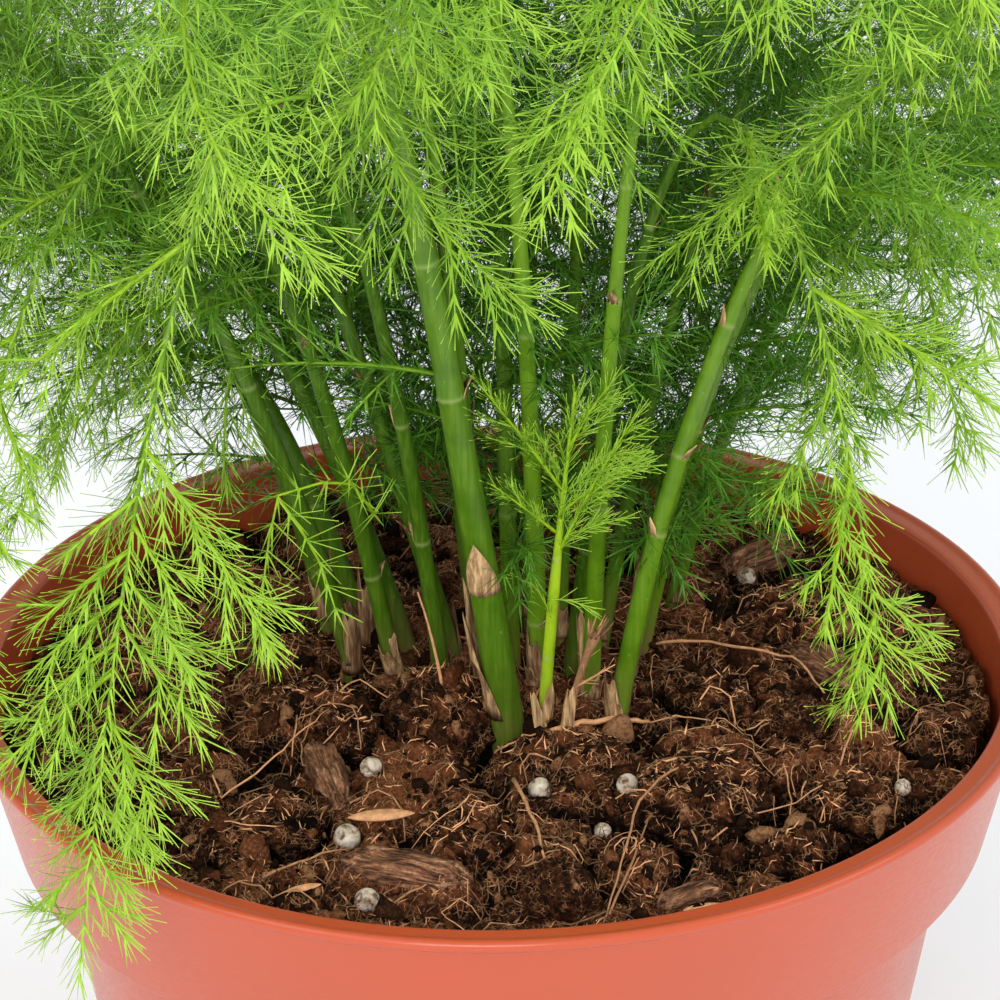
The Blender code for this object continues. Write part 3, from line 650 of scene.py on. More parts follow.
class Finish:
    """A procedural material as it is put together."""

    def __init__(self, name, **constants):
        self.material = bpy.data.materials.new(name)
        self.material.use_nodes = True
        self.tree = self.material.node_tree
        self.shader = self.tree.nodes["Principled BSDF"]
        for socket, value in constants.items():
            self.shader.inputs[socket.replace("_", " ")].default_value = value

    def add(self, kind, settings=None, **sockets):
        """Adds a node, with its settings and the values or links of its sockets."""
        made = self.tree.nodes.new("ShaderNode" + kind)
        for key, value in (settings or {}).items():
            setattr(made, key, value)
        for key, value in sockets.items():
            numbered = key[0] == "i" and key[1:].isdigit()
            socket = made.inputs[int(key[1:]) if numbered else key.replace("_", " ")]
            if isinstance(value, bpy.types.NodeSocket):
                self.tree.links.new(value, socket)
            else:
                socket.default_value = value
        return made

    def place(self, x=1.0, y=1.0, z=1.0):
        """Object coordinates, stretched."""
        here = self.add("TexCoord").outputs["Object"]
        return self.add("Mapping", Vector=here, Scale=(x, y, z)).outputs["Vector"]

    def cloud(self, where, size, detail=3.0, roughness=0.55):
        """Soft noise with lumps of a size in millimetres."""
        made = self.add("TexNoise", Vector=where, Scale=1000.0 / size, Detail=detail, Roughness=roughness)
        return made.outputs["Fac"]

    def cells(self, where, size, feature="F1"):
        """Distance to the nearest of scattered points, with cells of a size in millimetres."""
        made = self.add("TexVoronoi", {"feature": feature}, Vector=where, Scale=1000.0 / size)
        return made.outputs["Distance"]

    def kept(self, key):
        """A number that is kept for each point."""
        return self.add("Attribute", {"attribute_name": key}).outputs["Fac"]

    def bend(self, where, size, amount):
        """Coordinates that are bent by soft noise of a size and an amount in millimetres."""
        soft = self.add("TexNoise", Vector=where, Scale=1000.0 / size, Detail=2.0).outputs["Color"]
        reach = (amount * MM,) * 3
        moved = self.add("VectorMath", {"operation": "MULTIPLY_ADD"}, i0=soft, i1=reach, i2=where)
        return moved.outputs["Vector"]

    def ramp(self, value, *stops):
        """Colours read along a value. A stop is a place from 0 to 1 and a colour."""
        made = self.add("ValToRGB", Fac=value)
        row = made.color_ramp.elements
        while len(row) < len(stops):
            row.new(0.5)
        for element, (at, colour) in zip(row, stops):
            element.position = at
            element.color = (*colour, 1.0) if hasattr(colour, "__len__") else (colour, colour, colour, 1.0)
        return made.outputs["Color"]

    def math(self, kind, a, b=0.0, clamp=False):
        """A sum on two numbers."""
        return self.add("Math", {"operation": kind, "use_clamp": clamp}, i0=a, i1=b).outputs[0]

    def varied(self, tone, soft, amount):
        """A tone that soft noise makes lighter and darker, by an amount in all."""
        return self.math("ADD", tone, self.math("MULTIPLY", self.math("SUBTRACT", soft, 0.5), amount))

    def blend(self, share, a, b):
        """Mixes two colours by a share."""
        made = self.add("Mix", {"data_type": "RGBA"})
        for socket, value in ((made.inputs[0], share), (made.inputs[6], a), (made.inputs[7], b)):
            if isinstance(value, bpy.types.NodeSocket):
                self.tree.links.new(value, socket)
            elif hasattr(value, "__len__"):
                socket.default_value = (*value[:3], 1.0)
            else:
                socket.default_value = value
        return made.outputs[2]

    def wear(self, colour, roughness=None, height=None, depth=0.1):
        """Gives the shader its colour, its roughness and a bump of a depth in millimetres."""
        self.tree.links.new(colour, self.shader.inputs["Base Color"])
        if roughness is not None:
            self.tree.links.new(roughness, self.shader.inputs["Roughness"])
        if height is not None:
            bump = self.add("Bump", Height=height, Distance=depth * MM, Strength=1.0)
            self.tree.links.new(bump.outputs["Normal"], self.shader.inputs["Normal"])
        return self.material


def plastic_finish(settings):
    """Smooth moulded plastic with faint flow marks and scuffs."""
    made = Finish("coral plastic", Specular_IOR_Level=0.4, Coat_Weight=0.3, Coat_Roughness=0.14)
    where = made.place()
    base = Vector(settings.colour)
    drift = made.cloud(where, 26.0, 2.0)
    scuff = made.cloud(made.place(1.0, 1.0, 3.0), 1.1, 4.0, 0.7)
    colour = made.blend(drift, base * 0.93, base * 1.06)
    scuffed = base * 0.6 + Vector((0.4, 0.33, 0.3))
    colour = made.blend(made.ramp(scuff, (0.62, 0.0), (0.8, 0.14)), colour, scuffed)
    rough = made.ramp(scuff, (0.3, settings.roughness - 0.05), (0.75, settings.roughness + 0.14))
    return made.wear(colour, rough, made.cloud(where, 0.55, 2.0), 0.012)


def soil_finish(settings):
    """Dark moist peat: near black in the hollows, brown on the crumbs, with lighter specks of fibre. The dark
    of the hollows is partly moister peat and partly painted shade.
    """
    made = Finish("potting soil", Specular_IOR_Level=0.08)
    where = made.place()
    bent = made.bend(where, 1.4, 0.9)
    lump = made.cloud(where, 5.0, 3.0, 0.6)
    fine = made.cloud(where, 0.8, 5.0, 0.75)
    strand = made.cells(bent, 0.8, "DISTANCE_TO_EDGE")
    fleck = made.cells(made.bend(where, 0.5, 0.6), 0.75)
    dark, brown, light = Vector(settings.dark), Vector(settings.brown), Vector(settings.fibre)
    mixed = made.math("ADD", made.math("MULTIPLY", lump, 0.15), made.math("MULTIPLY", fine, 0.75))
    # The kept rise darkens the hollows and lightens the tops: partly moister and drier peat, partly painted
    # shade in the hollows
    mixed = made.math("ADD", mixed, made.math("MULTIPLY", made.kept("rise"), 0.4))
    colour = made.ramp(mixed, (0.5, dark * 0.1), (0.635, dark), (0.75, brown * 0.65), (0.9, brown * 1.8))
    on_top = made.ramp(made.cloud(where, 2.0, 3.0, 0.6), (0.45, 0.0), (0.6, 0.8))
    # Light specks keep mostly to the tops, so the hollows stay dark as painted shade as well
    on_top = made.math("MULTIPLY", on_top, made.ramp(made.kept("rise"), (0.2, 0.15), (0.6, 1.0)))
    strands = made.ramp(strand, (0.02, 1.0), (0.07, 0.0))
    flecks = made.ramp(fleck, (0.16, 1.0), (0.22, 0.0))
    thin = made.math("ADD", strands, flecks, clamp=True)
    colour = made.blend(made.math("MULTIPLY", thin, on_top), colour, light * 0.75)
    return made.wear(colour, made.ramp(fine, (0.35, 0.75), (0.65, 1.0)), fine, 1.2)


def crumb_finish(settings):
    """Loose crumbs of peat and bark, each with its own tone."""
    made = Finish("soil crumbs", Specular_IOR_Level=0.08)
    fine = made.cloud(made.place(), 0.5, 4.0, 0.7)
    dark, brown, light = Vector(settings.dark), Vector(settings.brown), Vector(settings.fibre) * 0.42
    tone = made.varied(made.kept("tone"), fine, 1.2)
    colour = made.ramp(tone, (0.0, dark * 0.4), (0.4, dark * 1.6), (0.75, brown * 0.9), (1.0, light))
    return made.wear(colour, made.ramp(fine, (0.3, 0.7), (0.7, 1.0)), fine, 0.5)


def fibre_finish(settings):
    """Fine roots and coir, from dark brown to bright tan."""
    made = Finish("fibres", Specular_IOR_Level=0.3, Roughness=0.7)
    fine = made.cloud(made.place(), 0.8, 3.0, 0.6)
    light = Vector(settings.fibre)
    tone = made.varied(made.kept("tone"), fine, 0.5)
    colour = made.ramp(
        tone, (0.0, light * 0.05), (0.35, light * 0.2), (0.7, light * 0.55), (1.0, light * 1.2))
    return made.wear(colour)


def bark_finish():
    """Brown bark with a grain of dark furrows and light ridges along each chip: partly the bark's own colour,
    partly painted shade in the furrows and painted highlight on the ridges.
    """
    made = Finish("bark", Specular_IOR_Level=0.25)
    grain = made.add("Attribute", {"attribute_name": "grain"}).outputs["Vector"]
    along = made.add("Mapping", Vector=grain, Scale=(0.11, 1.0, 1.0)).outputs["Vector"]
    streak = made.add("TexNoise", Vector=along, Scale=1.5, Detail=4.0, Roughness=0.65).outputs["Fac"]
    fine = made.add("TexNoise", Vector=along, Scale=5.0, Detail=3.0, Roughness=0.6).outputs["Fac"]
    grit = made.cloud(made.place(), 0.6, 4.0, 0.7)
    mixed = made.math("ADD", made.math("MULTIPLY", streak, 0.7), made.math("MULTIPLY", fine, 0.3))
    # Dark furrows and light ridges follow the bump's height: partly the bark's own grain, partly painted
    # shade in the furrows and painted highlight on the ridges
    colour = made.ramp(
        mixed, (0.40, (0.035, 0.014, 0.007)), (0.46, (0.15, 0.062, 0.032)), (0.53, (0.34, 0.145, 0.07)),
        (0.62, (0.7, 0.38, 0.215)))
    colour = made.blend(made.ramp(grit, (0.42, 0.45), (0.55, 0.0)), colour, (0.05, 0.022, 0.012))
    height = made.math("ADD", streak, made.math("MULTIPLY", fine, 0.5))
    return made.wear(colour, made.ramp(grit, (0.3, 0.7), (0.7, 0.95)), height, 0.5)


def perlite_finish():
    """Chalky white grain, brown where soil has filled its pits."""
    made = Finish("perlite", Specular_IOR_Level=0.3, Roughness=0.85)
    where = made.place()
    dirt = made.cloud(where, 1.3, 3.0, 0.6)
    fine = made.cloud(where, 0.35, 3.0, 0.6)
    colour = made.ramp(dirt, (0.35, (0.42, 0.31, 0.21)), (0.52, (0.7, 0.58, 0.46)), (0.7, (0.88, 0.78, 0.66)))
    soiled = made.math("ADD", made.kept("pit"), made.ramp(dirt, (0.33, 0.8), (0.44, 0.0)), clamp=True)
    colour = made.blend(soiled, colour, (0.15, 0.07, 0.035))
    return made.wear(colour, None, fine, 0.12)


def stalk_finish():
    """Smooth green stalk with streaks and specks, brownish at its foot, with a pale line at each joint."""
    made = Finish("fern stalk", Specular_IOR_Level=0.36)
    where = made.place()
    streak = made.cloud(made.place(1.0, 1.0, 0.05), 0.45, 2.0, 0.6)
    patch = made.cloud(where, 6.0, 3.0, 0.6)
    speck = made.cells(made.place(1.0, 1.0, 0.6), 1.6)
    spotted = made.ramp(speck, (0.05, 1.0), (0.1, 0.0))
    colour = made.ramp(
        made.kept("tone"), (0.0, (0.02, 0.07, 0.003)), (0.3, (0.09, 0.215, 0.004)),
        (0.65, (0.19, 0.38, 0.008)), (1.0, (0.42, 0.66, 0.016)))
    colour = made.blend(made.ramp(streak, (0.42, 0.0), (0.72, 0.35)), colour, (0.26, 0.42, 0.04))
    colour = made.blend(made.ramp(patch, (0.3, 0.45), (0.5, 0.0)), colour, (0.04, 0.11, 0.004))
    colour = made.blend(made.math("MULTIPLY", spotted, 0.35), colour, (0.4, 0.5, 0.2))
    colour = made.blend(made.math("MULTIPLY", made.kept("joint"), 0.5), colour, (0.42, 0.5, 0.16))
    height = made.add("SeparateXYZ", Vector=where).outputs["Z"]
    low = made.add("MapRange", Value=height, i1=0.104, i2=0.094, i3=0.0, i4=1.0).outputs[0]
    stained = made.math("MULTIPLY", low, made.ramp(patch, (0.35, 0.2), (0.6, 1.0)))
    colour = made.blend(made.math("MULTIPLY", stained, 0.75), colour, (0.20, 0.125, 0.045))
    rough = made.ramp(patch, (0.4, 0.3), (0.75, 0.5))
    return made.wear(colour, rough, streak, 0.03)


def paper_finish(settings):
    """Dry papery skin, tan to brown, streaked along its length."""
    made = Finish("papery skin", Specular_IOR_Level=0.3, Roughness=0.75)
    streak = made.cloud(made.place(1.0, 1.0, 0.12), 0.5, 3.0, 0.6)
    light = Vector(settings.fibre)
    tone = made.varied(made.kept("tone"), streak, 2.2)
    pale = light * 0.85 + Vector((0.08, 0.16, 0.08))
    colour = made.ramp(tone, (0.0, light * 0.1), (0.35, light * 0.26), (0.7, pale * 0.55), (1.0, pale))
    return made.wear(colour, None, streak, 0.08)


def needle_finish(settings):
    """Needles from old dark green to new yellow-green, by the tone that each one keeps; the dark tones deep
    in the plant are partly painted shade.
    """
    made = Finish("fern needle", Specular_IOR_Level=0.4, Roughness=0.5)
    drift = made.cloud(made.place(), 9.0, 1.0)
    tone = made.varied(made.kept("tone"), drift, 0.3)
    colour = made.ramp(
        tone, (0.0, Vector(settings.shade)), (0.45, Vector(settings.green)),
        (0.72, (Vector(settings.green) + Vector(settings.tip)) * 0.5), (1.0, Vector(settings.tip)))
    return made.wear(colour)


def lathe(name, steps, profile):
    """Turns a closed profile about Z by drawing each ring out of the one before it."""
    drop_selection()
    radius, height = profile[0]
    bpy.ops.mesh.primitive_circle_add(
        vertices=steps, radius=radius * MM, fill_type="NGON", location=(0.0, 0.0, height * MM))
    piece = bpy.context.object
    bpy.ops.object.transform_apply(location=True)
    edit_all()
    for (last_radius, last_height), (radius, height) in zip(profile, profile[1:]):
        rise = {"value": (0, 0, (height - last_height) * MM)}
        bpy.ops.mesh.extrude_region_move(TRANSFORM_OT_translate=rise)
        share = radius / last_radius
        bpy.ops.transform.resize(value=(share, share, 1.0), center_override=(0.0, 0.0, height * MM))
    bpy.ops.mesh.select_all(action="SELECT")
    face_out()
    piece.name = name
    return piece


def make_pot(settings):
    """The nursery pot: a rolled lip, a tapered collar, a step and a tapered body."""
    lip = []
    for k in range(LIP_STEPS):
        angle = math.radians(LIP_START + LIP_TURN * k / (LIP_STEPS - 1))
        away = LIP_CENTRE[0] + LIP_RADIUS * math.cos(angle)
        lip.append((away, LIP_CENTRE[1] + LIP_RADIUS * math.sin(angle)))
    pot = lathe("plastic_pot", settings.steps, POT_OUTSIDE + tuple(lip) + POT_INSIDE)
    bevel = pot.modifiers.new("eased edges", "BEVEL")
    bevel.width = EASED_EDGE * MM
    bevel.segments = 3
    bevel.limit_method = "ANGLE"
    bevel.angle_limit = EASED_ANGLE
    pick(pot)
    bpy.ops.object.modifier_apply(modifier=bevel.name)
    bpy.ops.object.shade_smooth_by_angle(angle=SHARP_ANGLE)
    return settle(pot, "plastic_pot", [plastic_finish(settings)], ["pot"])


def soil_height(x, y):
    """Height of the soil's top as the solid has it: a rise to the crown, crumbs, and clods."""
    place = Vector((x, y, 0.0))
    to_crown = (place - CROWN_CENTRE).length / CROWN_SPREAD
    crown = math.exp(-to_crown ** 4)
    crumbs = SOIL_WAVE * noise.noise(place * SOIL_WAVE_RATE + SOIL_SEED_PLACE)
    crumbs += SOIL_CRUMB * noise.noise(place * SOIL_CRUMB_RATE)
    height = SOIL_LEVEL + crumbs
    for clod_x, clod_y, radius, rise in CLODS:
        share = math.hypot(x - clod_x, y - clod_y) / radius
        if share < 1.0:
            height += rise * (1.0 - share * share) ** 1.5
    return height + (CROWN_LEVEL - height) * crown


def clods(place, size, rise):
    """Height of round clods that lie packed together, with deep creases between them."""
    apart, points = noise.voronoi(place / size + SOIL_SEED_PLACE)
    lift = 0.7 + 0.7 * noise.noise(points[0] * 3.1)
    return rise * lift * (math.sqrt(max(0.0, 1.0 - (apart[0] / 0.78) ** 2)) - 0.55)


def seats():
    """Where the soil has to meet what lies on it: x, y, reach and height of each seat."""
    rows = []
    for node in nodes_named("perlite_") + nodes_named("bark_nugget_"):
        low, high = (np.array(corner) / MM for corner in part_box(node.name))
        middle, radius = (low + high) / 2, float(np.mean(high - low)) / 2
        rows.append((middle[0], middle[1], radius, middle[2] - 0.45 * radius))
    for node in nodes_named("bark_chip_"):
        points = np.array([node.matrix_world @ vert.co for vert in node.data.vertices]) / MM
        middle = points.mean(axis=0)
        along = np.linalg.eigh(np.cov((points - middle)[:, :2].T))[1][:, 1]
        far = (points - middle)[:, :2] @ along
        wide = np.abs((points - middle)[:, :2] @ (-along[1], along[0])).max()
        for share in (-0.7, -0.35, 0.0, 0.35, 0.7):
            place = middle[:2] + along * share * far.max()
            near = points[np.abs(far - share * far.max()) < wide]
            rows.append((place[0], place[1], wide, near[:, 2].mean() - 0.3))
    return rows


def under_seats(x, y, height, meeting):
    """Height that leaves in view, from the front, what lies on the soil."""
    for at_x, at_y, reach, level in meeting:
        away = math.hypot(x - at_x, y - at_y)
        if away < SEAT_REACH:
            steep = FRONT_RISE if y < at_y and abs(x - at_x) < 1.3 * reach else SIDE_RISE
            height = min(height, level + steep * max(0.0, away - 1.15 * reach))
    return height


def off_seats(flat, meeting):
    """Keeps the places that don't lie on a grain or a chip."""
    return [place for place in flat if all(
        math.hypot(place[0] - x, place[1] - y) > 1.3 * reach for x, y, reach, _ in meeting)]


def lumpy_height(x, y, meeting):
    """Height of the soil's top: clods, creases between them, grit, and seats for what lies on it."""
    large, middling, small = CLOD_SIZES
    place = Vector((x, y, 0.0))
    bent = place + 2.2 * noise.noise_vector(place * 0.11) + 0.7 * noise.noise_vector(place * 0.45)
    height = SOIL_LEVEL + 0.5 * (soil_height(x, y) - SOIL_LEVEL) + clods(bent, *large)
    for at_x, at_y, radius, _ in MOUNDS:
        share = math.hypot(bent.x - at_x, bent.y - at_y) / radius
        height -= CREASE_DEPTH * max(0.0, 1.0 - abs(share - CREASE_AT) / CREASE_HALF)
    height += clods(bent, *middling)
    for at_x, at_y, reach, level in meeting:
        away = math.hypot(x - at_x, y - at_y)
        if away < SEAT_REACH:
            height = max(height, level - 1.3 * max(0.0, away - 0.85 * reach))
    height = under_seats(x, y, height, meeting) + clods(place, *small)
    for size, rise in GRIT_SIZES:
        height += rise * noise.noise(place / size)
    return height


def make_soil(settings):
    """The ball of soil: a lumpy, creased top, with sides that follow the pot's wall."""
    drop_selection()
    bpy.ops.mesh.primitive_grid_add(x_subdivisions=settings.cells, y_subdivisions=settings.cells, size=2.0)
    soil = bpy.context.object
    edge = SOIL_RADIUS - SOIL_SIDE_GAP
    square = points_of(soil.data)
    disc = np.empty_like(square)
    disc[:, 0] = edge * square[:, 0] * np.sqrt(1.0 - square[:, 1] ** 2 / 2.0)
    disc[:, 1] = edge * square[:, 1] * np.sqrt(1.0 - square[:, 0] ** 2 / 2.0)
    rise = np.zeros(len(disc))
    meeting = seats()
    for k, row in enumerate(disc):
        calm = max(0.0, math.hypot(row[0], row[1]) / edge - CALM_FROM) / CALM_WIDTH
        row[2] = lumpy_height(row[0], row[1], meeting)
        row[2] += (min(row[2], SOIL_LEVEL + CALM_HEIGHT) - row[2]) * calm
        # The rise darkens the hollows in the soil's finish: partly moister peat, partly painted shade
        rise[k] = 0.5 + (row[2] - SOIL_LEVEL) / RISE_SPAN
    move_points(soil.data, disc)
    set_values(soil.data, "rise", np.clip(rise, 0.0, 1.0))
    edit_all()
    bpy.ops.mesh.region_to_loop()
    for radius, height in SOIL_RINGS:
        bpy.ops.mesh.extrude_region_move(TRANSFORM_OT_translate={"value": (0.0, 0.0, -0.001)})
        bpy.ops.object.mode_set(mode="OBJECT")
        for vert in (v for v in soil.data.vertices if v.select):
            flat = Vector((vert.co.x, vert.co.y, 0.0)).normalized() * (radius - SOIL_SIDE_GAP) * MM
            vert.co = Vector((flat.x, flat.y, height * MM))
        bpy.ops.object.mode_set(mode="EDIT")
    bpy.ops.mesh.edge_face_add()
    bpy.ops.mesh.select_all(action="SELECT")
    face_out()
    soil.data.shade_smooth()
    return settle(soil, "soil_ball", [soil_finish(settings)], ["potting_soil"])


def make_peat_clods(settings):
    """Big clods of peat that stand out of the soil's top, each with a rough skin, in one piece."""
    verts, faces, rise, count = [], [], [], 0
    meeting = seats()
    for number, (x, y, radius, height) in enumerate(MOUNDS):
        drop_selection()
        bpy.ops.mesh.primitive_ico_sphere_add(subdivisions=5 if radius > 6.0 else 4, radius=1.0)
        ball, tris = shape_of(bpy.context.object)
        deep = max(1.05 * height, 0.6 * radius)
        seed = Vector((number * 7.7, 0.0, 0.0))
        for k, row in enumerate(ball):
            here = Vector(row)
            skin = 1.0 + 0.22 * noise.noise(here * 1.2 + seed) + 0.12 * noise.noise(here * 2.7 + seed)
            place = Vector((here.x * radius, here.y * radius, here.z * deep)) * skin
            apart = noise.voronoi(place / 2.6 + seed)[0][0]
            small = noise.voronoi(place / 1.2 + seed)[0][0]
            place += here * (1.3 * (0.45 - apart) + 0.5 * (0.45 - small) + 0.4 * noise.noise(place * 0.9))
            place += here * 0.25 * noise.noise(place * 2.1)
            place += Vector((x, y, SOIL_LEVEL + 0.6 + height - deep))
            ball[k] = place.x, place.y, under_seats(place.x, place.y, place.z, meeting)
            # Each clod's skin is darker low down, as painted shade under it, and darker in the cracks between
            # its lumps, partly moister peat and partly painted shade
            rise.append(max(0.0, min(1.0, 0.4 + 0.3 * here.z + 0.9 * (0.45 - apart))))
        verts.append(ball)
        faces.append(tris + count)
        count += len(ball)
    piece = mesh_of("clods", np.concatenate(verts), np.concatenate(faces), rise=rise)
    piece.data.shade_smooth()
    return settle(piece, "peat_clods", [soil_finish(settings)])


class Ground:
    """Finds the top of the soil and its clods under a place, in millimetres."""

    def __init__(self, *pieces):
        verts, faces = [], []
        for piece in pieces:
            piece.data.calc_loop_triangles()
            faces += [tuple(len(verts) + k for k in tri.vertices) for tri in piece.data.loop_triangles]
            verts += points_of(piece.data).tolist()
        self.tree = BVHTree.FromPolygons(verts, faces)

    def meet(self, x, y):
        """Height and slope of the ground at a place."""
        hit, normal, _, _ = self.tree.ray_cast(Vector((x * MM, y * MM, 0.2)), -UP)
        return (hit.z / MM, normal) if hit else (SOIL_LEVEL, UP)

    def under(self, x, y):
        """Height of the ground at a place."""
        return self.meet(x, y)[0]


def scattered(draw, count, reach):
    """Random places on a disc, in millimetres."""
    away = reach * np.sqrt(draw.random(count))
    angle = draw.uniform(0.0, 2.0 * math.pi, count)
    return np.c_[away * np.cos(angle), away * np.sin(angle)]


def model_lump(detail, seed, rough):
    """Models one lump of soil, a unit across, as points and triangles."""
    drop_selection()
    bpy.ops.mesh.primitive_ico_sphere_add(subdivisions=detail, radius=1.0)
    verts, faces = shape_of(bpy.context.object)
    for row in verts:
        here = Vector(row)
        coarse = noise.noise(here * 1.1 + Vector((seed, 0, 0)))
        row *= 1.0 + rough * coarse + 0.5 * rough * noise.noise(here * 2.9)
    return verts * np.array([1.0, 0.8, 0.62]), faces


class Heap:
    """Gathers copies of model shapes before they become one mesh."""

    def __init__(self):
        self.verts, self.faces, self.tones = [], [], []
        self.count = 0

    def add(self, shape, places, axes, tones):
        """Adds copies of one shape at places, each with its own axes and tone."""
        verts, faces = copies(shape, np.asarray(places), axes)
        self.verts.append(verts)
        self.faces.append(faces + self.count)
        self.tones.append(np.repeat(tones, len(shape[0])))
        self.count += len(verts)

    def mesh(self, name):
        """Makes the mesh of all the copies."""
        return mesh_of(
            name, np.concatenate(self.verts), np.concatenate(self.faces), tone=np.concatenate(self.tones))


def make_crumbs(settings, ground):
    """Loose crumbs and small clods strewn over the soil, in one piece."""
    draw = np.random.default_rng(CRUMB_SEED)
    heap = Heap()
    meeting = seats()
    for detail, number, low, high, rough in ((2, 220, 0.9, 2.3, 1.0), (1, settings.crumbs, 0.25, 1.1, 1.2)):
        kinds = [model_lump(detail, 7.3 * seed, rough) for seed in range(6)]
        for kind in kinds:
            flat = off_seats(scattered(draw, number // len(kinds), CRUMB_REACH), meeting)
            sizes = low + (high - low) * draw.random(len(flat)) ** 2.4
            places = [(x, y, ground.under(x, y) + 0.15 * size) for (x, y), size in zip(flat, sizes)]
            heap.add(kind, places, turned(draw, len(flat), sizes), draw.random(len(flat)) ** 1.4)
    return settle(heap.mesh("crumbs"), "soil_crumbs", [crumb_finish(settings)])


def model_sliver(draw):
    """Models one short curled fibre, a unit long, as points and triangles, with a point at each end."""
    turn, heading = draw.normal(0.0, 0.6), 0.0
    place = Vector((0.0, 0.0, 0.0))
    points = []
    for k in range(4):
        points.append(Vector(place))
        heading += turn + draw.normal(0.0, 0.5)
        place += Vector((math.cos(heading), math.sin(heading), draw.uniform(-0.25, 0.45))) / 3.0 / MM
    middle = sum(points, Vector()) / 4.0
    thick = draw.uniform(0.026, 0.055) / MM
    radii = np.array([0.0001, 1.0, 0.9, 0.0001]) * thick
    sliver = tubes("sliver", 3, [([point - middle for point in points], radii, np.zeros(4), np.zeros(4))])
    edit_all()
    bpy.ops.mesh.remove_doubles(threshold=0.001)
    bpy.ops.object.mode_set(mode="OBJECT")
    return shape_of(sliver)


def lying(draw, ground, flat, sizes):
    """Places on the ground and axes that lie along its slope at random headings."""
    places, axes = [], []
    for (x, y), size in zip(flat, sizes):
        height, normal = ground.meet(x, y)
        normal = (normal * 1.2 + Vector(draw.normal(0.0, FIBRE_TILT, 3))).normalized()
        along = normal.cross(Vector(draw.normal(0.0, 1.0, 3))).normalized()
        places.append((x, y, height + 0.05))
        axes.append([along * size, normal.cross(along) * size, normal * size])
    return np.array(places), np.array(axes)


def make_fibres(settings, ground):
    """A mat of short curled fibres over the soil, thickest on the clods."""
    draw = np.random.default_rng(FIBRE_SEED)
    heap = Heap()
    meeting = [row for row in seats() if row[2] < 3.0]
    for _ in range(12):
        sliver = model_sliver(draw)
        flat = [
            place for place in scattered(draw, settings.fibres // 10, FIBRE_REACH)
            if ground.under(*place) > SOIL_LEVEL + draw.uniform(-3.2, 0.6)]
        flat = off_seats(flat, meeting)
        sizes = 0.9 + 2.4 * draw.random(len(flat)) ** 1.7
        # Fibres lower in the hollows take darker tones, as painted shade of the hollows
        raised = np.array([ground.under(*place) - SOIL_LEVEL for place in flat])
        tones = (0.27 + 0.9 * draw.random(len(flat)) ** 1.2) * np.clip(0.66 + 0.12 * raised, 0.2, 1.1)
        heap.add(sliver, *lying(draw, ground, flat, sizes), tones)
    return settle(heap.mesh("fibres"), "soil_fibres", [fibre_finish(settings)])


def thread(draw, ground, start, heading, length, steps):
    """Points of a thread that wanders over the ground."""
    points = []
    place = np.array(start, float)
    turn = draw.normal(0.0, THREAD_CURL)
    arch = draw.uniform(0.0, THREAD_LIFT)
    for k in range(steps + 1):
        share = k / steps
        height = ground.under(*place) + 0.1 + arch * math.sin(math.pi * share) + draw.normal(0.0, 0.1)
        points.append((place[0], place[1], height))
        place = place + np.array([math.cos(heading), math.sin(heading)]) * length / steps
        if np.hypot(*place) > FIBRE_REACH:
            break
        heading += turn + draw.normal(0.0, THREAD_CURL)
    return points


def laid_straw(draw, ground, straw):
    """Points of a straw that rests on the ground along its places and arches over the dips."""
    way = Route([Vector((*place, 0.0)) for place in straw.places])
    points = []
    count = 4 * (len(straw.places) - 1)
    for k in range(count + 1):
        place = way.at(way.length * k / count)[0]
        points.append(Vector((place.x, place.y, ground.under(place.x, place.y))))
    ends = points[0].z, points[-1].z
    for k, point in enumerate(points):
        share = k / count
        level = ends[0] + (ends[1] - ends[0]) * share + straw.lift * math.sin(math.pi * share)
        point.z = max(level, point.z) + straw.radius * 0.6
    smooth = [Vector(point) for point in points]
    for k in range(1, count):
        smooth[k] = (points[k - 1] + points[k] * 2.0 + points[k + 1]) / 4.0
        smooth[k] += Vector(draw.normal(0.0, 0.1, 3))
    return smooth


def make_threads(settings, ground):
    """Long roots, coir threads and straws that lie on the soil."""
    draw = np.random.default_rng(THREAD_SEED)
    lines = []
    for x, y in scattered(draw, settings.threads, THREAD_REACH):
        length = 5.0 + 13.0 * draw.random() ** 1.6
        steps = 4 + int(length / 2.0)
        points = thread(draw, ground, (x, y), draw.uniform(0, 2 * math.pi), length, steps)
        if len(points) < 4:
            continue
        radii = np.full(len(points), 0.045 + 0.07 * draw.random() ** 2)
        radii[-1] = 0.02
        lines.append((points, radii, np.full(len(points), 0.25 + 0.7 * draw.random()), np.zeros(len(points))))
    for straw in STRAWS:
        points = laid_straw(draw, ground, straw)
        share = np.linspace(0.0, 1.0, len(points))
        radii = straw.radius * (1.0 - 0.45 * share) * draw.uniform(0.85, 1.1, len(points))
        lines.append((points, radii, np.full(len(points), straw.tone), share * 0.0))
    spike = bezier(*[Vector(place) for place in SPIKE.places], 6)
    lines.append((spike, SPIKE.radius * np.linspace(0.3, 1.0, 7), np.full(7, SPIKE.tone), np.zeros(7)))
    threads = tubes("threads", 5, lines)
    return settle(threads, "roots_and_straws", [fibre_finish(settings)])


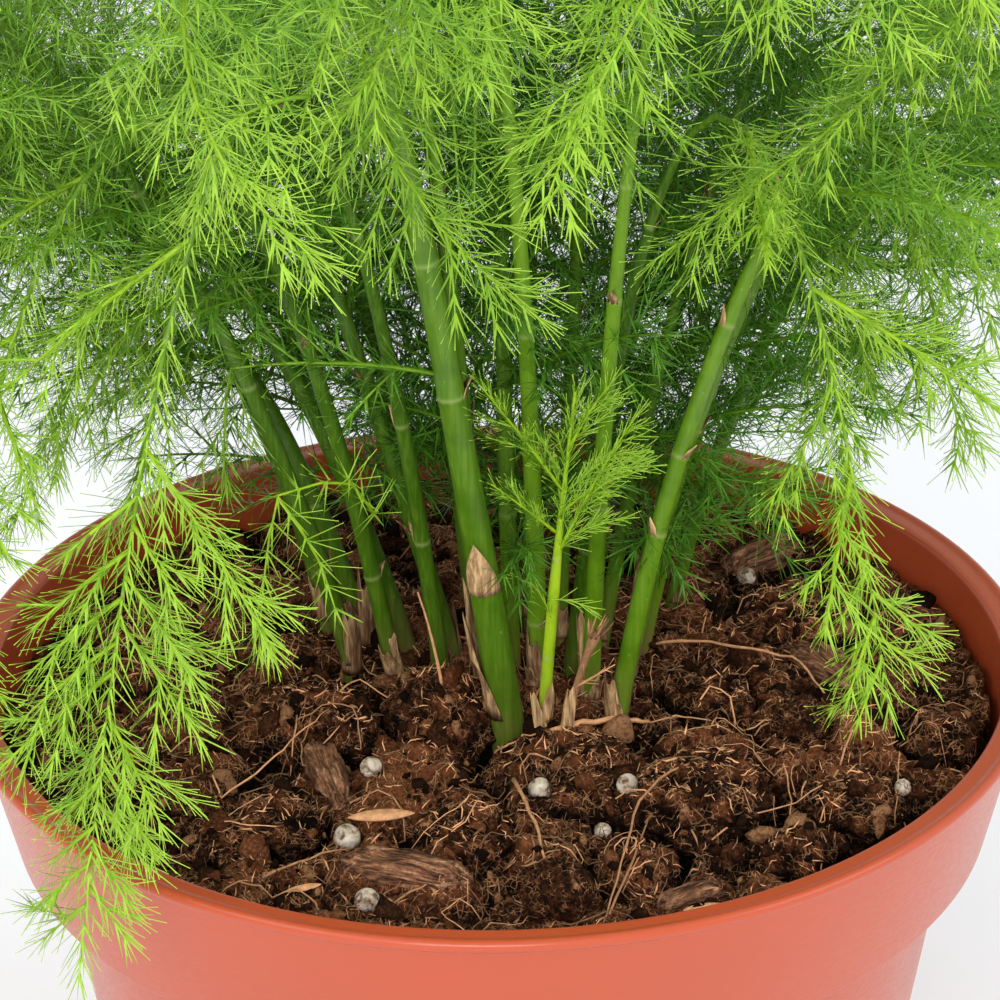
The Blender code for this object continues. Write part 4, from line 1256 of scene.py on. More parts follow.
def make_husks(settings, ground):
    """Dry seed husks: a pointed, creased boat, modelled once and copied."""
    drop_selection()
    bpy.ops.mesh.primitive_uv_sphere_add(
        segments=16, ring_count=14, radius=0.5, rotation=(0.0, math.pi / 2, 0.0))
    bpy.ops.object.transform_apply(rotation=True)
    verts, faces = shape_of(bpy.context.object)
    narrow = 1.0 - 0.5 * np.abs(verts[:, 0] * 2.0) ** 3
    crease = 1.0 + 0.09 * np.cos(6.0 * np.arctan2(verts[:, 2], verts[:, 1]))
    verts[:, 1] *= 0.26 * narrow * crease
    verts[:, 2] *= 0.15 * narrow * crease
    heap = Heap()
    for x, y, heading, length in HUSKS:
        along = unit_out(heading)
        axes = np.array([[along * length, UP.cross(along) * length, UP * length]])
        heap.add((verts, faces), [(x, y, ground.under(x, y) + HUSK_LIFT)], axes, [HUSK_TONE])
    husks = heap.mesh("husks")
    husks.data.shade_smooth()
    return settle(husks, "seed_husks", [fibre_finish(settings)])


def nodes_named(start):
    """The frame's nodes whose names start in a given way, in order."""
    return [bpy.data.objects[name] for name in sorted(frame["nodes"]) if name.startswith(start)]


def finer_copy(node, cuts, smoothness):
    """Copies a node's mesh, merges its triangles and divides them."""
    piece = node.copy()
    piece.data = node.data.copy()
    bpy.context.scene.collection.objects.link(piece)
    piece.data.materials.clear()
    pick(piece)
    bpy.ops.object.parent_clear(type="CLEAR_KEEP_TRANSFORM")
    bpy.ops.object.transform_apply(location=True, rotation=True, scale=True)
    if piece.data.has_custom_normals:
        bpy.ops.mesh.customdata_custom_splitnormals_clear()
    edit_all()
    bpy.ops.mesh.remove_doubles(threshold=0.00001)
    bpy.ops.mesh.subdivide(number_cuts=cuts, smoothness=smoothness)
    face_out()
    return piece


def normals_of(mesh):
    """Unit normals of a mesh's points."""
    rows = np.zeros(3 * len(mesh.vertices), np.float32)
    mesh.vertices.foreach_get("normal", rows)
    return rows.reshape(-1, 3).astype(float)


def make_bark(nodes):
    """Chips of bark with ragged ridges along their grain."""
    finish = bark_finish()
    for number, node in enumerate(nodes, 1):
        piece = finer_copy(node, 8, 0.25)
        mesh = piece.data
        points = points_of(mesh) / MM
        middle = points.mean(axis=0)
        spread = points - middle
        along = np.linalg.eigh(np.cov(spread[:, :2].T))[1][:, 1]
        grain = np.c_[spread[:, :2] @ along, spread[:, :2] @ (-along[1], along[0]), spread[:, 2]]
        push = []
        for row in grain:
            here = Vector(row) + Vector((number * 9.0, 0.0, 0.0))
            ridge = abs(noise.noise(Vector((here.x * 0.10, here.y * 0.85, here.z * 0.85))))
            fine = noise.noise(Vector((here.x * 0.35, here.y * 2.2, here.z * 2.2)))
            lump = noise.noise(here * 0.3)
            push.append(1.5 * (0.25 - ridge) + 0.35 * fine + 0.5 * lump)
        points += normals_of(mesh) * np.array(push)[:, None]
        move_points(mesh, points)
        set_vectors(mesh, "grain", grain)
        mesh.shade_smooth()
        settle(piece, f"ridged_bark_{number}", [finish], [node.name])


def make_peat_balls(settings, nodes):
    """Round balls of peat with a rough skin."""
    finish = soil_finish(settings)
    for number, node in enumerate(nodes, 1):
        piece = finer_copy(node, 7, 0.6)
        mesh = piece.data
        points = points_of(mesh) / MM
        push = [
            0.5 * noise.noise(Vector(row) * 0.5) + 0.35 * noise.noise(Vector(row) * 1.4)
            + 0.22 * noise.noise(Vector(row) * 3.4) for row in points]
        points += normals_of(mesh) * np.array(push)[:, None]
        move_points(mesh, points)
        set_values(mesh, "rise", np.full(len(points), 0.55))
        mesh.shade_smooth()
        settle(piece, f"peat_ball_{number}", [finish], [node.name])


def make_perlite(nodes):
    """Round white grains with brown pits and cracks."""
    finish = perlite_finish()
    for number, node in enumerate(nodes, 1):
        low, high = (np.array(corner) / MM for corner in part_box(node.name))
        radius = float(np.mean(high - low)) / 2
        drop_selection()
        bpy.ops.mesh.primitive_ico_sphere_add(subdivisions=4, radius=radius * MM)
        piece = bpy.context.object
        points = points_of(piece.data) / MM
        push = []
        for row in points:
            here = Vector(row) + Vector((number * 5.0, 0.0, 0.0))
            apart = noise.voronoi((here + 0.5 * noise.noise_vector(here)) / radius * 1.15)[0]
            cracked = max(0.0, min(1.0, 0.6 + 2.5 * noise.noise(here * 0.7)))
            crack = max(0.0, 1.0 - 6.5 * (apart[1] - apart[0])) * cracked
            push.append(1.0 - 0.14 * crack + 0.05 * noise.noise(here * 0.9) + 0.03 * noise.noise(here * 3.0))
        points *= np.array(push)[:, None]
        move_points(piece.data, points + (low + high) / 2)
        set_values(piece.data, "pit", np.clip((1.0 - np.array(push)) * 9.0, 0.0, 1.0))
        piece.data.shade_smooth()
        settle(piece, f"perlite_grain_{number}", [finish], [node.name])


def unit_out(heading):
    """Level unit vector at a heading in degrees."""
    angle = math.radians(heading)
    return Vector((math.cos(angle), math.sin(angle), 0.0))


def bezier(start, middle, end, steps):
    """Points along a quadratic curve."""
    points = []
    for k in range(steps + 1):
        t = k / steps
        points.append(start * (1 - t) ** 2 + middle * 2 * t * (1 - t) + end * t * t)
    return points


class Route:
    """A smooth line through points, read by the distance along it."""

    def __init__(self, points):
        self.points = points
        self.marks = [0.0]
        for first, second in zip(points, points[1:]):
            self.marks.append(self.marks[-1] + (second - first).length)
        self.length = self.marks[-1]

    def at(self, distance):
        """Gives the place and the direction at a distance from the start."""
        k = 0
        while k < len(self.points) - 2 and self.marks[k + 1] < distance:
            k += 1
        first, second = self.points[k], self.points[k + 1]
        direction = (second - first).normalized()
        return first + direction * (distance - self.marks[k]), direction

    def height_mark(self, height):
        """Gives the distance at which the line first climbs to a height."""
        for k, point in enumerate(self.points):
            if point.z >= height:
                return self.marks[k]
        return self.length

    def mark_at_height(self, height):
        """Gives the exact distance at which the line first climbs to a height."""
        for k, (first, second) in enumerate(zip(self.points, self.points[1:])):
            if second.z >= height:
                share = (height - first.z) / (second.z - first.z)
                return self.marks[k] + share * (self.marks[k + 1] - self.marks[k])
        return self.length

    def read(self, marks):
        """Places and directions at many distances, as arrays."""
        both = [self.at(mark) for mark in marks]
        return np.array([place for place, _ in both]), np.array([way for _, way in both])


def stem_route(frond):
    """Line of a stem from its root end, straight up to the soil's top and over in one arch."""
    base = Vector((frond.x, frond.y, CROWN_LEVEL))
    out = unit_out(frond.heading)
    bend = base + out * math.tan(math.radians(frond.lean)) * frond.rise + UP * frond.rise
    tip = Vector((frond.x, frond.y, frond.tip_height)) + out * frond.reach
    arch = bezier(base, bend, tip, CURVE_STEPS)
    return Route([base - UP * ROOT_DEPTH] + arch)


def twig_route(stem, mark, frond, turn, length):
    """Line of a side twig that leaves the stem at a mark, turned about it, and sags a little."""
    start, direction = stem.at(mark)
    side = direction.cross(UP)
    if side.length < 0.2:
        side = direction.cross(unit_out(frond.heading + 90.0))
    side = Matrix.Rotation(turn, 3, direction) @ side.normalized()
    angle = math.radians(frond.habit.twig_angle)
    away = direction * math.cos(angle) + side * math.sin(angle)
    middle = start + away * length * 0.5
    end = start + away * length - UP * frond.habit.twig_sag * length
    return Route(bezier(start, middle, end, 12))


def stem_room(route, radius):
    """Points every 3 mm along a stem, and the room that each needs."""
    marks = np.arange(0.0, route.length, 3.0)
    return np.array([route.at(mark)[0] for mark in marks]), np.full(len(marks), radius + 0.5)


def twig_room(route, habit):
    """Points every 2 mm along a twig, and the room that each needs: more where needles stand."""
    marks = np.arange(3.0, route.length, 2.0)
    points = np.array([route.at(mark)[0] for mark in marks])
    return points, np.where(marks > habit.first_whorl - 1.0, 0.5 * habit.needle, BARE_ROOM)


def crowded(points, room, taken, owner):
    """Tells whether points come too near what is taken, apart from the owner's own stem."""
    for other, (other_points, other_room) in taken:
        if other == owner:
            continue
        apart = np.linalg.norm(points[:, None] - other_points[None], axis=2)
        if (apart < room[:, None] + other_room[None]).any():
            return True
    return False


def lay_out():
    """Places every stem and twig of the solids, turning a twig about its stem until it has room."""
    stems = {name: stem_route(frond) for name, frond in FRONDS.items()}
    twigs = {name: [] for name in FRONDS}
    taken = [((name, "stem"), stem_room(route, FRONDS[name].radius)) for name, route in stems.items()]
    for name, height, middle, tip in SPRIGS:
        mark = stems[name].height_mark(height)
        route = Route(bezier(stems[name].at(mark)[0], Vector(middle), Vector(tip), 12))
        twigs[name].append((mark, route))
        taken.append(((name, "twig"), twig_room(route, FRONDS[name].habit)))
    for index, (name, frond) in enumerate(FRONDS.items()):
        draw = random.Random(LAYOUT_SEED + index)
        stem = stems[name]
        for k, share in enumerate(frond.habit.forks):
            mark = stem.length * share
            length = frond.habit.twig_length * (1.0 - 0.42 * k / 3) * draw.uniform(0.9, 1.1)
            turn = (math.pi if k % 2 else 0.0) + draw.uniform(-0.6, 0.6)
            for _ in range(TRIES):
                route = twig_route(stem, mark, frond, turn, length)
                near = twig_room(route, frond.habit)
                if not crowded(*near, taken, (name, "stem")):
                    twigs[name].append((mark, route))
                    taken.append(((name, "twig"), near))
                    break
                turn += SWERVE
                length *= 0.96
    return stems, twigs


def model_needle():
    """Models one needle, a unit long: a strip, a unit wide at its root, that turns to a fine edge."""
    drop_selection()
    bpy.ops.mesh.primitive_plane_add(size=1.0, location=(0.0, 0.0, 0.5), rotation=(math.pi / 2, 0.0, 0.0))
    needle = bpy.context.object
    bpy.ops.object.transform_apply(location=True, rotation=True)
    bpy.ops.object.mode_set(mode="EDIT")
    bpy.ops.mesh.select_all(action="DESELECT")
    bpy.ops.object.mode_set(mode="OBJECT")
    for vert in needle.data.vertices:
        vert.select = vert.co.z > 0.5
    bpy.ops.object.mode_set(mode="EDIT")
    bpy.ops.transform.rotate(value=math.pi / 2, orient_axis="Z", center_override=(0.0, 0.0, 1.0))
    bpy.ops.transform.resize(value=(0.34, 0.34, 1.0), center_override=(0.0, 0.0, 1.0))
    bpy.ops.mesh.select_all(action="SELECT")
    bpy.ops.mesh.convex_hull()
    face_out()
    return shape_of(needle)


def across(ways):
    """Two unit vectors square to each direction."""
    up = np.where(np.abs(ways[:, 2:3]) < 0.9, [[0.0, 0.0, 1.0]], [[1.0, 0.0, 0.0]])
    side = np.cross(ways, up)
    side /= np.linalg.norm(side, axis=1)[:, None]
    return side, np.cross(side, ways)


def in_the_way(points):
    """Tells which points lie in the pot's wall or in the soil."""
    away = np.hypot(points[:, 0], points[:, 1])
    inside, outside = WALL_CLEAR
    wall = (points[:, 2] < RIM_CLEAR) & (away > inside) & (away < outside)
    return wall | ((points[:, 2] < SOIL_CLEAR) & (away <= inside))


def past_the_box(points):
    """Tells which points lie too far outside the solids' box."""
    low, high = np.array(CAD_LOW) / MM - BOX_ROOM, np.array(CAD_HIGH) / MM + BOX_ROOM
    return ((points < low) | (points > high)).any(axis=1)


class Growth:
    """Gathers the stalks and needles of one frond before they become one mesh."""

    def __init__(self, seed, leafing, tone):
        self.draw = np.random.default_rng(seed)
        self.leafing = leafing
        self.tone = tone
        self.twigs = []
        self.twiglets = []
        self.roots, self.ways, self.lengths, self.tones = [], [], [], []

    def wear(self, leafing, tone):
        """Changes to other leaves for the twigs that follow."""
        self.leafing, self.tone = leafing, tone

    def needles(self, route, first, ripe):
        """Sets whorls of needles along a twig, out to a tuft at its tip."""
        leafing, draw = self.leafing, self.draw
        marks = np.arange(first, route.length, leafing.pitch)
        if len(marks) == 0:
            marks = np.array([route.length * 0.6])
        marks = np.minimum(marks + draw.normal(0.0, 0.25, len(marks)), route.length)
        places, ways = route.read(marks)
        count = leafing.needles
        places, ways = np.repeat(places, count, axis=0), np.repeat(ways, count, axis=0)
        places = places + ways * draw.normal(0.0, 0.22, (len(places), 1))
        near_tip = np.repeat(np.clip((marks - route.length + 7.0) / 7.0, 0.0, 1.0), count)
        angle = np.repeat(draw.uniform(0, 2 * math.pi, len(marks)), count)
        whorl = np.tile(np.arange(count) * 2 * math.pi / count, len(marks))
        angle += whorl + draw.normal(0, 0.22, len(angle))
        lean = np.radians(leafing.lean * (1.0 - 0.45 * near_tip) + draw.normal(0, 7.0, len(angle)))
        side, up = across(ways)
        out = side * np.cos(angle)[:, None] + up * np.sin(angle)[:, None]
        self.roots.append(places)
        self.ways.append(out * np.sin(lean)[:, None] + ways * np.cos(lean)[:, None])
        self.lengths.append(leafing.needle * draw.uniform(0.72, 1.12, len(angle)) * (1.0 - 0.25 * near_tip))
        share = np.repeat(marks / route.length, count)
        # Needles nearer the plant's middle take a darker tone: partly older needles, partly painted shade of
        # the dense middle
        outer = np.clip((np.hypot(places[:, 0], places[:, 1]) - 25.0) / 90.0, 0.0, 1.0)
        self.tones.append(self.tone + ripe * share + 0.22 * outer + draw.normal(0, 0.05, len(angle)))

    def twig(self, route, radius, ripe, twiglets=True):
        """Adds a side twig with its twiglets and needles."""
        leafing, draw = self.leafing, self.draw
        points = route.read(np.linspace(0.0, route.length, 9))[0]
        share = np.linspace(0.0, 1.0, 9)
        tones = self.tone + 0.1 + ripe * share
        self.twigs.append((points, radius * (1.0 - 0.66 * share), tones, share * 0.0))
        self.needles(route, leafing.first, ripe)
        if not twiglets:
            return
        mark = leafing.twiglet_spacing * draw.uniform(0.7, 1.3)
        hand = draw.choice((-1.0, 1.0))
        while mark < route.length - 0.6 * leafing.needle:
            start, way = route.at(mark)
            side = way.cross(UP)
            if side.length < 0.2:
                side = way.cross(Vector((1.0, 0.0, 0.0)))
            side = Matrix.Rotation(draw.normal(0.0, 0.8), 3, way) @ side.normalized() * hand
            angle = math.radians(draw.normal(leafing.fork, 6.0))
            away = way * math.cos(angle) + side * math.sin(angle)
            left = route.length - mark
            length = min(leafing.twiglet_longest, 0.6 * leafing.needle + leafing.twiglet_share * left)
            length *= draw.uniform(0.75, 1.1)
            end = start + away * length - UP * 0.06 * length
            ends = np.array([end])
            if not in_the_way(ends)[0] and not past_the_box(ends)[0]:
                small = Route(bezier(start, start + away * length * 0.5, end, 2))
                self.twiglets.append((
                    np.array(small.points), np.array([0.5, 0.42, 0.26]) * radius,
                    np.full(3, self.tone + 0.1 + ripe * 0.7), np.zeros(3)))
                self.needles(small, 0.4 * leafing.pitch, ripe)
            mark += leafing.twiglet_spacing * draw.uniform(0.8, 1.2)
            hand = -hand

    def leaves(self, needle, width):
        """Points, triangles and tones of all needles."""
        roots, ways = np.concatenate(self.roots), np.concatenate(self.ways)
        lengths, tones = np.concatenate(self.lengths), np.concatenate(self.tones)
        ends = roots + ways * lengths[:, None]
        free = ~(in_the_way(ends) | past_the_box(ends))
        roots, ways, lengths, tones = roots[free], ways[free], lengths[free], tones[free]
        side, up = across(ways)
        axes = np.stack([side * width, up * width, ways * lengths[:, None]], axis=1)
        verts, faces = copies(needle, roots, axes)
        return verts, faces, np.repeat(tones, len(needle[0]))


def stem_thickness(frond, mark):
    """Radius of a stem at a distance from its root end."""
    above = max(0.0, mark - ROOT_DEPTH)
    return max(THINNEST_STEM, frond.radius / (1.0 + (above / TAPER_LENGTH) ** TAPER_POWER))


def grown_thickness(frond, stem, marks):
    """Radii of a grown stem at distances from its root end: slimmer up its length, and fine at its tip."""
    share = np.clip(marks - ROOT_DEPTH, 0.0, None) / stem.length
    slim = np.clip((share - 0.3) / 0.3, 0.0, 1.0) * (0.55 if frond.habit == HANGING else 0.4)
    fine = np.clip((stem.length - marks) / (0.25 * stem.length), 0.2, 1.0)
    return np.array([stem_thickness(frond, mark) for mark in marks]) * (1.0 - slim) * fine


def stem_line(frond, stem, joints, tone):
    """Points, radii, tones and joints along a stem, a little thicker at each joint."""
    marks = set(np.arange(0.0, stem.length - 1.0, 5.0))
    for joint in joints:
        marks |= {joint - 1.0, joint - 0.5, joint - 0.25, joint, joint + 0.25, joint + 0.5, joint + 1.2}
    marks = np.array(sorted(marks) + [stem.length])
    points = stem.read(marks)[0]
    share = np.clip(marks - ROOT_DEPTH, 0.0, None) / stem.length
    ring, swell = np.zeros(len(marks)), np.zeros(len(marks))
    for joint in joints:
        ring = np.maximum(ring, np.clip(1.0 - np.abs(marks - joint) / 0.45, 0.0, 1.0))
        swell = np.maximum(swell, np.exp(-((marks - joint) / 0.8) ** 2))
    radii = grown_thickness(frond, stem, marks) * (1.0 + 0.07 * swell)
    radii[-1] = 0.08
    paler = 0.5 * np.clip((share - 0.42) / 0.35, 0.0, 1.0) if frond.habit == HANGING else 0.3 * share
    return points, radii, tone + paler, ring


def joint_marks(name, stem):
    """Distances of a stem's joints: where the photo shows them, and at random further up."""
    draw = np.random.default_rng(JOINT_SEED + list(FRONDS).index(name))
    marks = [stem.mark_at_height(height) for height in JOINTS.get(name, ())]
    mark = (marks[-1] if marks else ROOT_DEPTH) + draw.uniform(14.0, 26.0)
    while mark < stem.length * 0.92:
        marks.append(mark)
        mark += draw.uniform(20.0, 36.0)
    return marks


def one_piece(stalk, growth, needle, width, finishes):
    """Joins a stem, its twigs, its twiglets and its needles into one piece."""
    verts, faces, tones = growth.leaves(needle, width)
    leaves = mesh_of("leaves", verts, faces, tone=tones, joint=np.zeros(len(verts)))
    body = tubes("stem", 10, [stalk])
    limbs = tubes("twigs", 4, growth.twigs)
    for part in (body, limbs):
        part.data.materials.append(finishes["stalk"])
    parts = [body, limbs, leaves]
    if growth.twiglets:
        parts.append(tubes("twiglets", 3, growth.twiglets))
    for part in parts[2:]:
        part.data.materials.append(finishes["needle"])
    return joined(*parts)


def free_twig(stem, mark, frond, turn, length, leafing):
    """Finds a way for a side twig that stays clear of the pot, the soil and the box of the solids."""
    level, slope = FRONT_ROW_SLOPE
    for k in range(FILL_TRIES):
        route = twig_route(stem, mark, frond, turn + k * FILL_SWERVE, length * FILL_SHRINK ** k)
        points = np.array(route.points)
        tip = points[-1]
        low = leafing.longest == FRONT_ROW.longest and tip[2] < level + slope * tip[1]
        if not low and not in_the_way(points).any() and not past_the_box(points).any():
            return route
    return None


def grow_frond(name, stem, twigs, needle, settings, finishes):
    """Grows one frond: its stem, its side twigs, their twiglets, and all the needles."""
    frond = FRONDS[name]
    leafing = LEAFING.get(name, BACK_ROW)
    tone = LEAF_TONE.get(name, BACK_TONE)
    growth = Growth(FROND_SEED + list(FRONDS).index(name), leafing, tone)
    draw = growth.draw
    stalk = stem_line(frond, stem, joint_marks(name, stem), STEM_TONE.get(name, BACK_TONE + 0.1))
    if name == "frond_24":
        twigs = twigs[1:]
        growth.wear(SPARSE, SPRIG_TONE)
        for places in SPARSE_SPRIGS:
            growth.twig(Route([Vector(place) for place in places]), HAND_TWIG, 0.15, twiglets=False)
    for _, share, middle, tip, own_tone in (row for row in FEATHERS if row[0] == name):
        growth.wear(FEATHER, own_tone)
        start = stem.at(stem.length * share)[0]
        growth.twig(Route(bezier(start, Vector(middle), Vector(tip), 12)), HAND_TWIG, 0.3)
    growth.wear(leafing, tone)
    for _, route in twigs:
        growth.twig(route, frond.habit.twig_radius * 0.7, 0.3)
    first = ROOT_DEPTH + leafing.bare
    mark = first
    hand = 0
    while mark < stem.length - TIP_ROOM:
        share = (mark - first) / (stem.length - first)
        if all(abs(mark - other) > FORK_ROOM for other, _ in twigs):
            full = leafing.longest * (1.0 - 0.72 * share ** 1.2) * min(1.0, 0.5 + 2.2 * share)
            length = max(leafing.shortest, full) * draw.uniform(0.8, 1.08)
            sway = HANGING_SWAY if frond.habit == HANGING else UPRIGHT_SWAY
            turn = hand * math.pi + draw.normal(0.0, sway)
            route = free_twig(stem, mark, frond, turn, length, leafing)
            if route:
                growth.twig(route, FILLING_TWIG * (1.0 - 0.3 * share), 0.12 + 0.25 * share)
            hand = 1 - hand
        wider = LOW_SPACING if stem.at(mark)[0].z < LOW_FOLIAGE else HIGH_SPACING
        mark += leafing.spacing * draw.uniform(0.8, 1.2) * wider
    growth.needles(Route(stem.points[-24 if frond.habit == HANGING else -14:]), 1.0, 0.42)
    piece = one_piece(stalk, growth, needle, settings.needle_width, finishes)
    return settle(piece, name.replace("frond", "fern"), replaced=[name])


def grow_lime_shoot(stem, twigs, needle, settings, finishes):
    """Grows the young shoot, with short soft needles that press forward along its twigs."""
    frond = FRONDS["young_shoot"]
    growth = Growth(LIME_SHOOT_SEED, SHOOT, LEAF_TONE["young_shoot"])
    joints = [stem.mark_at_height(height) for height in SHOOT_JOINTS]
    points, _, tones, rings = stem_line(frond, stem, joints, STEM_TONE["young_shoot"])
    stalk = (points, np.interp(points[:, 2], *SHOOT_THICKNESS), tones, rings)
    for _, route in twigs:
        growth.twig(route, HAND_TWIG, 0.12)
    for radius, *places in SHOOT_TWIGS:
        growth.twig(Route(bezier(*[Vector(place) for place in places], 8)), radius, 0.12, twiglets=False)
    growth.twig(Route(stem.points[-22:]), HAND_TWIG, 0.12)
    piece = one_piece(stalk, growth, needle, 0.8 * settings.needle_width, finishes)
    return settle(piece, "lime_shoot", replaced=["young_shoot"])


def grow_dried_shoot(stem, twigs, needle, settings, finishes):
    """Grows the dried shoot: a tan stalk that is split at its top, with a few withered needles."""
    frond = FRONDS["dry_shoot"]
    growth = Growth(DRIED_SHOOT_SEED, WITHERED, WITHERED_TONE)
    draw = growth.draw
    cut = stem.mark_at_height(DRIED_TOP)
    marks = np.linspace(0.0, cut, 12)
    points, ways = stem.read(marks)
    swell = 1.0 + 1.1 * np.clip((marks - cut + 3.0) / 3.0, 0.0, 1.0)
    stalk = (points, frond.radius * (0.8 - 0.25 * marks / cut) * swell, np.full(12, 0.5), np.zeros(12))
    top, way = Vector(points[-1]), Vector(ways[-1])
    for k in range(9):
        out = unit_out(40.0 * k + draw.uniform(-10, 10))
        root = top + out * frond.radius * 0.9 - way * 0.5
        tip = root + way * draw.uniform(1.6, 3.4) + out * draw.uniform(0.2, 1.3)
        growth.twigs.append((
            bezier(root, (root + tip) / 2 + out * 0.15, tip, 4), np.array([0.2, 0.19, 0.16, 0.12, 0.04]),
            np.full(5, draw.uniform(0.35, 0.75)), np.zeros(5)))
    for _, route in twigs:
        growth.twig(route, 0.2, 0.1, twiglets=False)
    growth.needles(Route(stem.points[1:]), 4.0, 0.0)
    piece = one_piece(stalk, growth, needle, 0.8 * settings.needle_width, finishes)
    return settle(piece, "dried_shoot", replaced=["dry_shoot"])


def model_scale(cells, half_turn, flare, ragged, seed):
    """Models a papery scale that hugs a stem of a unit's radius, a unit tall, as points and triangles."""
    drop_selection()
    bpy.ops.mesh.primitive_grid_add(x_subdivisions=cells, y_subdivisions=cells, size=2.0)
    scale = bpy.context.object
    rows = points_of(scale.data)
    for row in rows:
        across_it, up = row[0], (row[1] + 1.0) / 2.0
        torn = ragged * noise.noise(Vector((across_it * 2.6, seed, 0.0)))
        narrow = (1.0 - up ** 1.3) if ragged == 0.0 else (1.0 - 0.72 * up)
        angle = math.radians(half_turn) * across_it * max(0.02, narrow)
        radius = 1.06 + flare * up * up + 0.05 * noise.noise(Vector((across_it * 3.0, up * 4.0, seed)))
        height = up * (1.0 + torn * up)
        row[:] = radius * math.cos(angle), radius * math.sin(angle), height
    scale.data.vertices.foreach_set("co", rows.ravel())
    solid = scale.modifiers.new("thin", "SOLIDIFY")
    solid.thickness = 0.06
    solid.offset = 0.0
    pick(scale)
    bpy.ops.object.modifier_apply(modifier=solid.name)
    edit_all()
    face_out()
    return shape_of(scale)


def make_scales(settings):
    """Papery scales at the joints and torn sheaths round the feet of the stems, in one piece."""
    draw = np.random.default_rng(SCALE_SEED)
    stems = {name: stem_route(frond) for name, frond in FRONDS.items()}
    pointed = [model_scale(8, 72.0, 0.3, 0.0, 3.0), model_scale(2, 46.0, 0.7, 0.0, 5.0)]
    torn = [model_scale(8, 118.0, 0.3, 0.9, 7.0), model_scale(6, 90.0, 0.45, 1.1, 11.0)]
    heap = Heap()

    def set_scale(name, mark, heading, shape, length, tone):
        """Sets one scale on a stem."""
        place, way = stems[name].at(mark)
        out = unit_out(heading)
        out = (out - way * out.dot(way)).normalized()
        radius = grown_thickness(FRONDS[name], stems[name], np.array([mark]))[0]
        heap.add(shape, [place], np.array([[out * radius, way.cross(out) * radius, way * length]]), [tone])

    for name, height, heading, kind, length in SHEATHS:
        shape = (pointed[0], torn[int(length) % 2])[kind]
        tone = draw.uniform(0.35, 0.9) + (0.0 if kind else 0.22)
        set_scale(name, stems[name].mark_at_height(height), heading, shape, length, tone)
    for name in (name for name in FRONDS if name not in ("young_shoot", "dry_shoot")):
        for mark in joint_marks(name, stems[name]):
            length = draw.uniform(1.4, 3.0) * min(1.0, 0.6 + FRONDS[name].radius / 4.0)
            set_scale(name, mark - 0.2, draw.uniform(0, 360), pointed[1], length, draw.uniform(0.3, 1.0))
        heading, length, tone = draw.uniform(0, 360), draw.uniform(3.0, 6.5), draw.uniform(0.1, 0.6)
        set_scale(name, ROOT_DEPTH + 0.5, heading, torn[1], length, tone)
    scales = heap.mesh("scales")
    scales.data.shade_smooth()
    return settle(scales, "stem_scales", [paper_finish(settings)])


class FERN_OT_pot(bpy.types.Operator):
    """Models the nursery pot"""
    bl_idname = "fern.pot"
    bl_label = "Pot"

    def execute(self, context):
        make_pot(context.scene.fern_pot)
        return {"FINISHED"}


class FERN_OT_soil(bpy.types.Operator):
    """Models the potting soil with its crumbs and fibres"""
    bl_idname = "fern.soil"
    bl_label = "Soil"

    def execute(self, context):
        settings = context.scene.fern_soil
        noise.seed_set(NOISE_SEED)
        ground = Ground(make_soil(settings), make_peat_clods(settings))
        make_crumbs(settings, ground)
        make_fibres(settings, ground)
        make_threads(settings, ground)
        make_husks(settings, ground)
        return {"FINISHED"}


class FERN_OT_loose(bpy.types.Operator):
    """Models the bark, the balls of peat and the perlite that lie on the soil"""
    bl_idname = "fern.loose"
    bl_label = "Bark, peat and perlite"

    def execute(self, context):
        noise.seed_set(NOISE_SEED)
        make_bark(nodes_named("bark_chip_"))
        make_peat_balls(context.scene.fern_soil, nodes_named("bark_nugget_"))
        make_perlite(nodes_named("perlite_"))
        return {"FINISHED"}


class FERN_OT_fronds(bpy.types.Operator):
    """Grows every frond and shoot"""
    bl_idname = "fern.fronds"
    bl_label = "Fronds"

    def execute(self, context):
        settings = context.scene.fern_plant
        finishes = {"stalk": stalk_finish(), "needle": needle_finish(settings)}
        dry = fibre_finish(context.scene.fern_soil)
        needle = model_needle()
        stems, twigs = lay_out()
        for name in (name for name in FRONDS if name.startswith("frond")):
            grow_frond(name, stems[name], twigs[name], needle, settings, finishes)
        grow_lime_shoot(stems["young_shoot"], twigs["young_shoot"], needle, settings, finishes)
        grow_dried_shoot(
            stems["dry_shoot"], twigs["dry_shoot"], needle, settings, {"stalk": dry, "needle": dry})
        return {"FINISHED"}


class FERN_OT_scales(bpy.types.Operator):
    """Models the papery scales and sheaths on the stems"""
    bl_idname = "fern.scales"
    bl_label = "Papery scales"

    def execute(self, context):
        make_scales(context.scene.fern_soil)
        return {"FINISHED"}


class FERN_OT_stage(bpy.types.Operator):
    """Sets the pale floor, the soft light and the camera"""
    bl_idname = "fern.stage"
    bl_label = "Stage"

    def execute(self, context):
        settings = context.scene.fern_stage
        make_floor()
        make_light(settings)
        make_camera(settings)
        return {"FINISHED"}


def make_floor():
    """A wide pale floor."""
    drop_selection()
    bpy.ops.mesh.primitive_plane_add(size=FLOOR_SIZE, location=(0.0, 0.0, -FLOOR_DROP))
    floor = bpy.context.object
    floor.name = "floor"
    made = Finish("pale floor", Specular_IOR_Level=0.2)
    grain = made.cloud(made.place(), 60.0, 3.0)
    colour = made.ramp(grain, (0.3, (0.89, 0.905, 0.92)), (0.7, (0.92, 0.935, 0.95)))
    floor.data.materials.append(made.wear(colour, made.ramp(grain, (0.3, 0.6), (0.7, 0.75))))


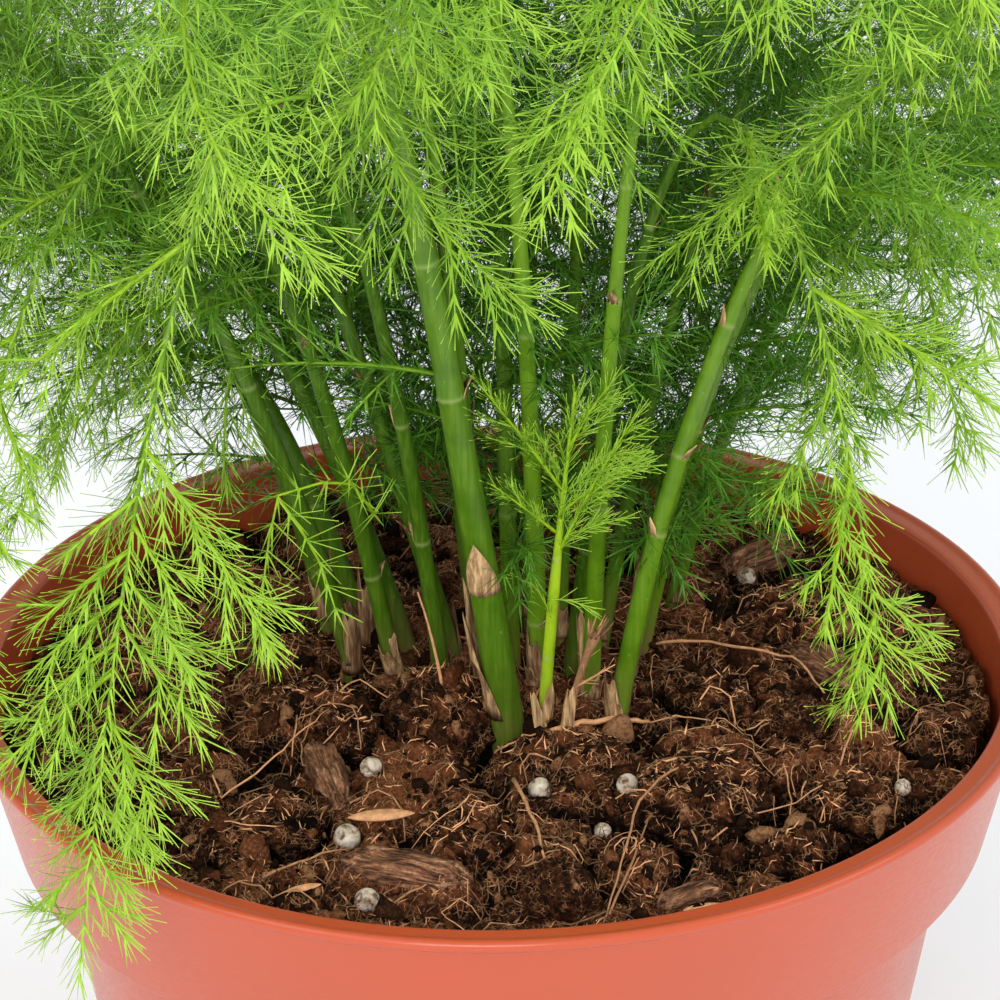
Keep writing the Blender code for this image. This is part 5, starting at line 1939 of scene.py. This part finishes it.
def make_light(settings):
    """A bright even surround, with soft lights from the front, the left, the right and above."""
    world = bpy.data.worlds.new("studio")
    world.use_nodes = True
    back = world.node_tree.nodes["Background"]
    back.inputs["Color"].default_value = (0.97, 0.98, 1.0, 1.0)
    back.inputs["Strength"].default_value = settings.surround
    bpy.context.scene.world = world
    for name, place, size, share in LAMPS:
        aim = (LIT_PLACE - Vector(place)).to_track_quat("-Z", "Y").to_euler()
        bpy.ops.object.light_add(type="AREA", location=place, rotation=aim)
        lamp = bpy.context.object
        lamp.name = name
        lamp.data.size = size
        lamp.data.energy = settings.light * share


def make_camera(settings):
    """The camera, at the photograph's viewing angle."""
    place = RIM_CENTRE + CAMERA_AWAY * Vector((0.0, -math.cos(CAMERA_RAISED), math.sin(CAMERA_RAISED)))
    turn = Matrix.Rotation(CAMERA_YAW, 3, "Z")
    turn = turn @ Matrix.Rotation(math.pi / 2 + CAMERA_PITCH, 3, "X") @ Matrix.Rotation(CAMERA_ROLL, 3, "Z")
    drop_selection()
    bpy.ops.object.camera_add(location=place, rotation=turn.to_euler())
    camera = bpy.context.object
    camera.data.lens = settings.lens
    camera.data.sensor_width = 36.0
    camera.data.clip_start = 0.01
    bpy.context.scene.camera = camera
    bpy.context.scene.view_settings.view_transform = "Standard"


class FERN_PT_panel(bpy.types.Panel):
    """Lists the fern's settings and the pieces that it is made of"""
    bl_idname = "FERN_PT_panel"
    bl_label = "Potted asparagus fern"
    bl_space_type = "VIEW_3D"
    bl_region_type = "UI"
    bl_category = "Fern"

    def draw(self, context):
        for key, kind in SETTINGS.items():
            box = self.layout.box()
            for value in kind.__annotations__:
                box.prop(getattr(context.scene, key), value)
        for operator in OPERATORS:
            self.layout.operator(operator.bl_idname)


SETTINGS = {
    "fern_pot": PotSettings,
    "fern_soil": SoilSettings,
    "fern_plant": PlantSettings,
    "fern_stage": StageSettings,
}
OPERATORS = (FERN_OT_stage, FERN_OT_pot, FERN_OT_soil, FERN_OT_loose, FERN_OT_fronds, FERN_OT_scales)


def register():
    """Registers the settings, the operators and the panel."""
    for key, kind in SETTINGS.items():
        bpy.utils.register_class(kind)
        setattr(bpy.types.Scene, key, PointerProperty(type=kind))
    for kind in (*OPERATORS, FERN_PT_panel):
        bpy.utils.register_class(kind)


def unregister():
    """Takes the add-on's classes out again."""
    for kind in (FERN_PT_panel, *reversed(OPERATORS)):
        bpy.utils.unregister_class(kind)
    for key, kind in SETTINGS.items():
        delattr(bpy.types.Scene, key)
        bpy.utils.unregister_class(kind)


def main():
    register()
    bpy.ops.fern.stage()
    bpy.ops.fern.pot()
    bpy.ops.fern.soil()
    bpy.ops.fern.loose()
    bpy.ops.fern.fronds()
    bpy.ops.fern.scales()


if __name__ == "__main__":
    main()
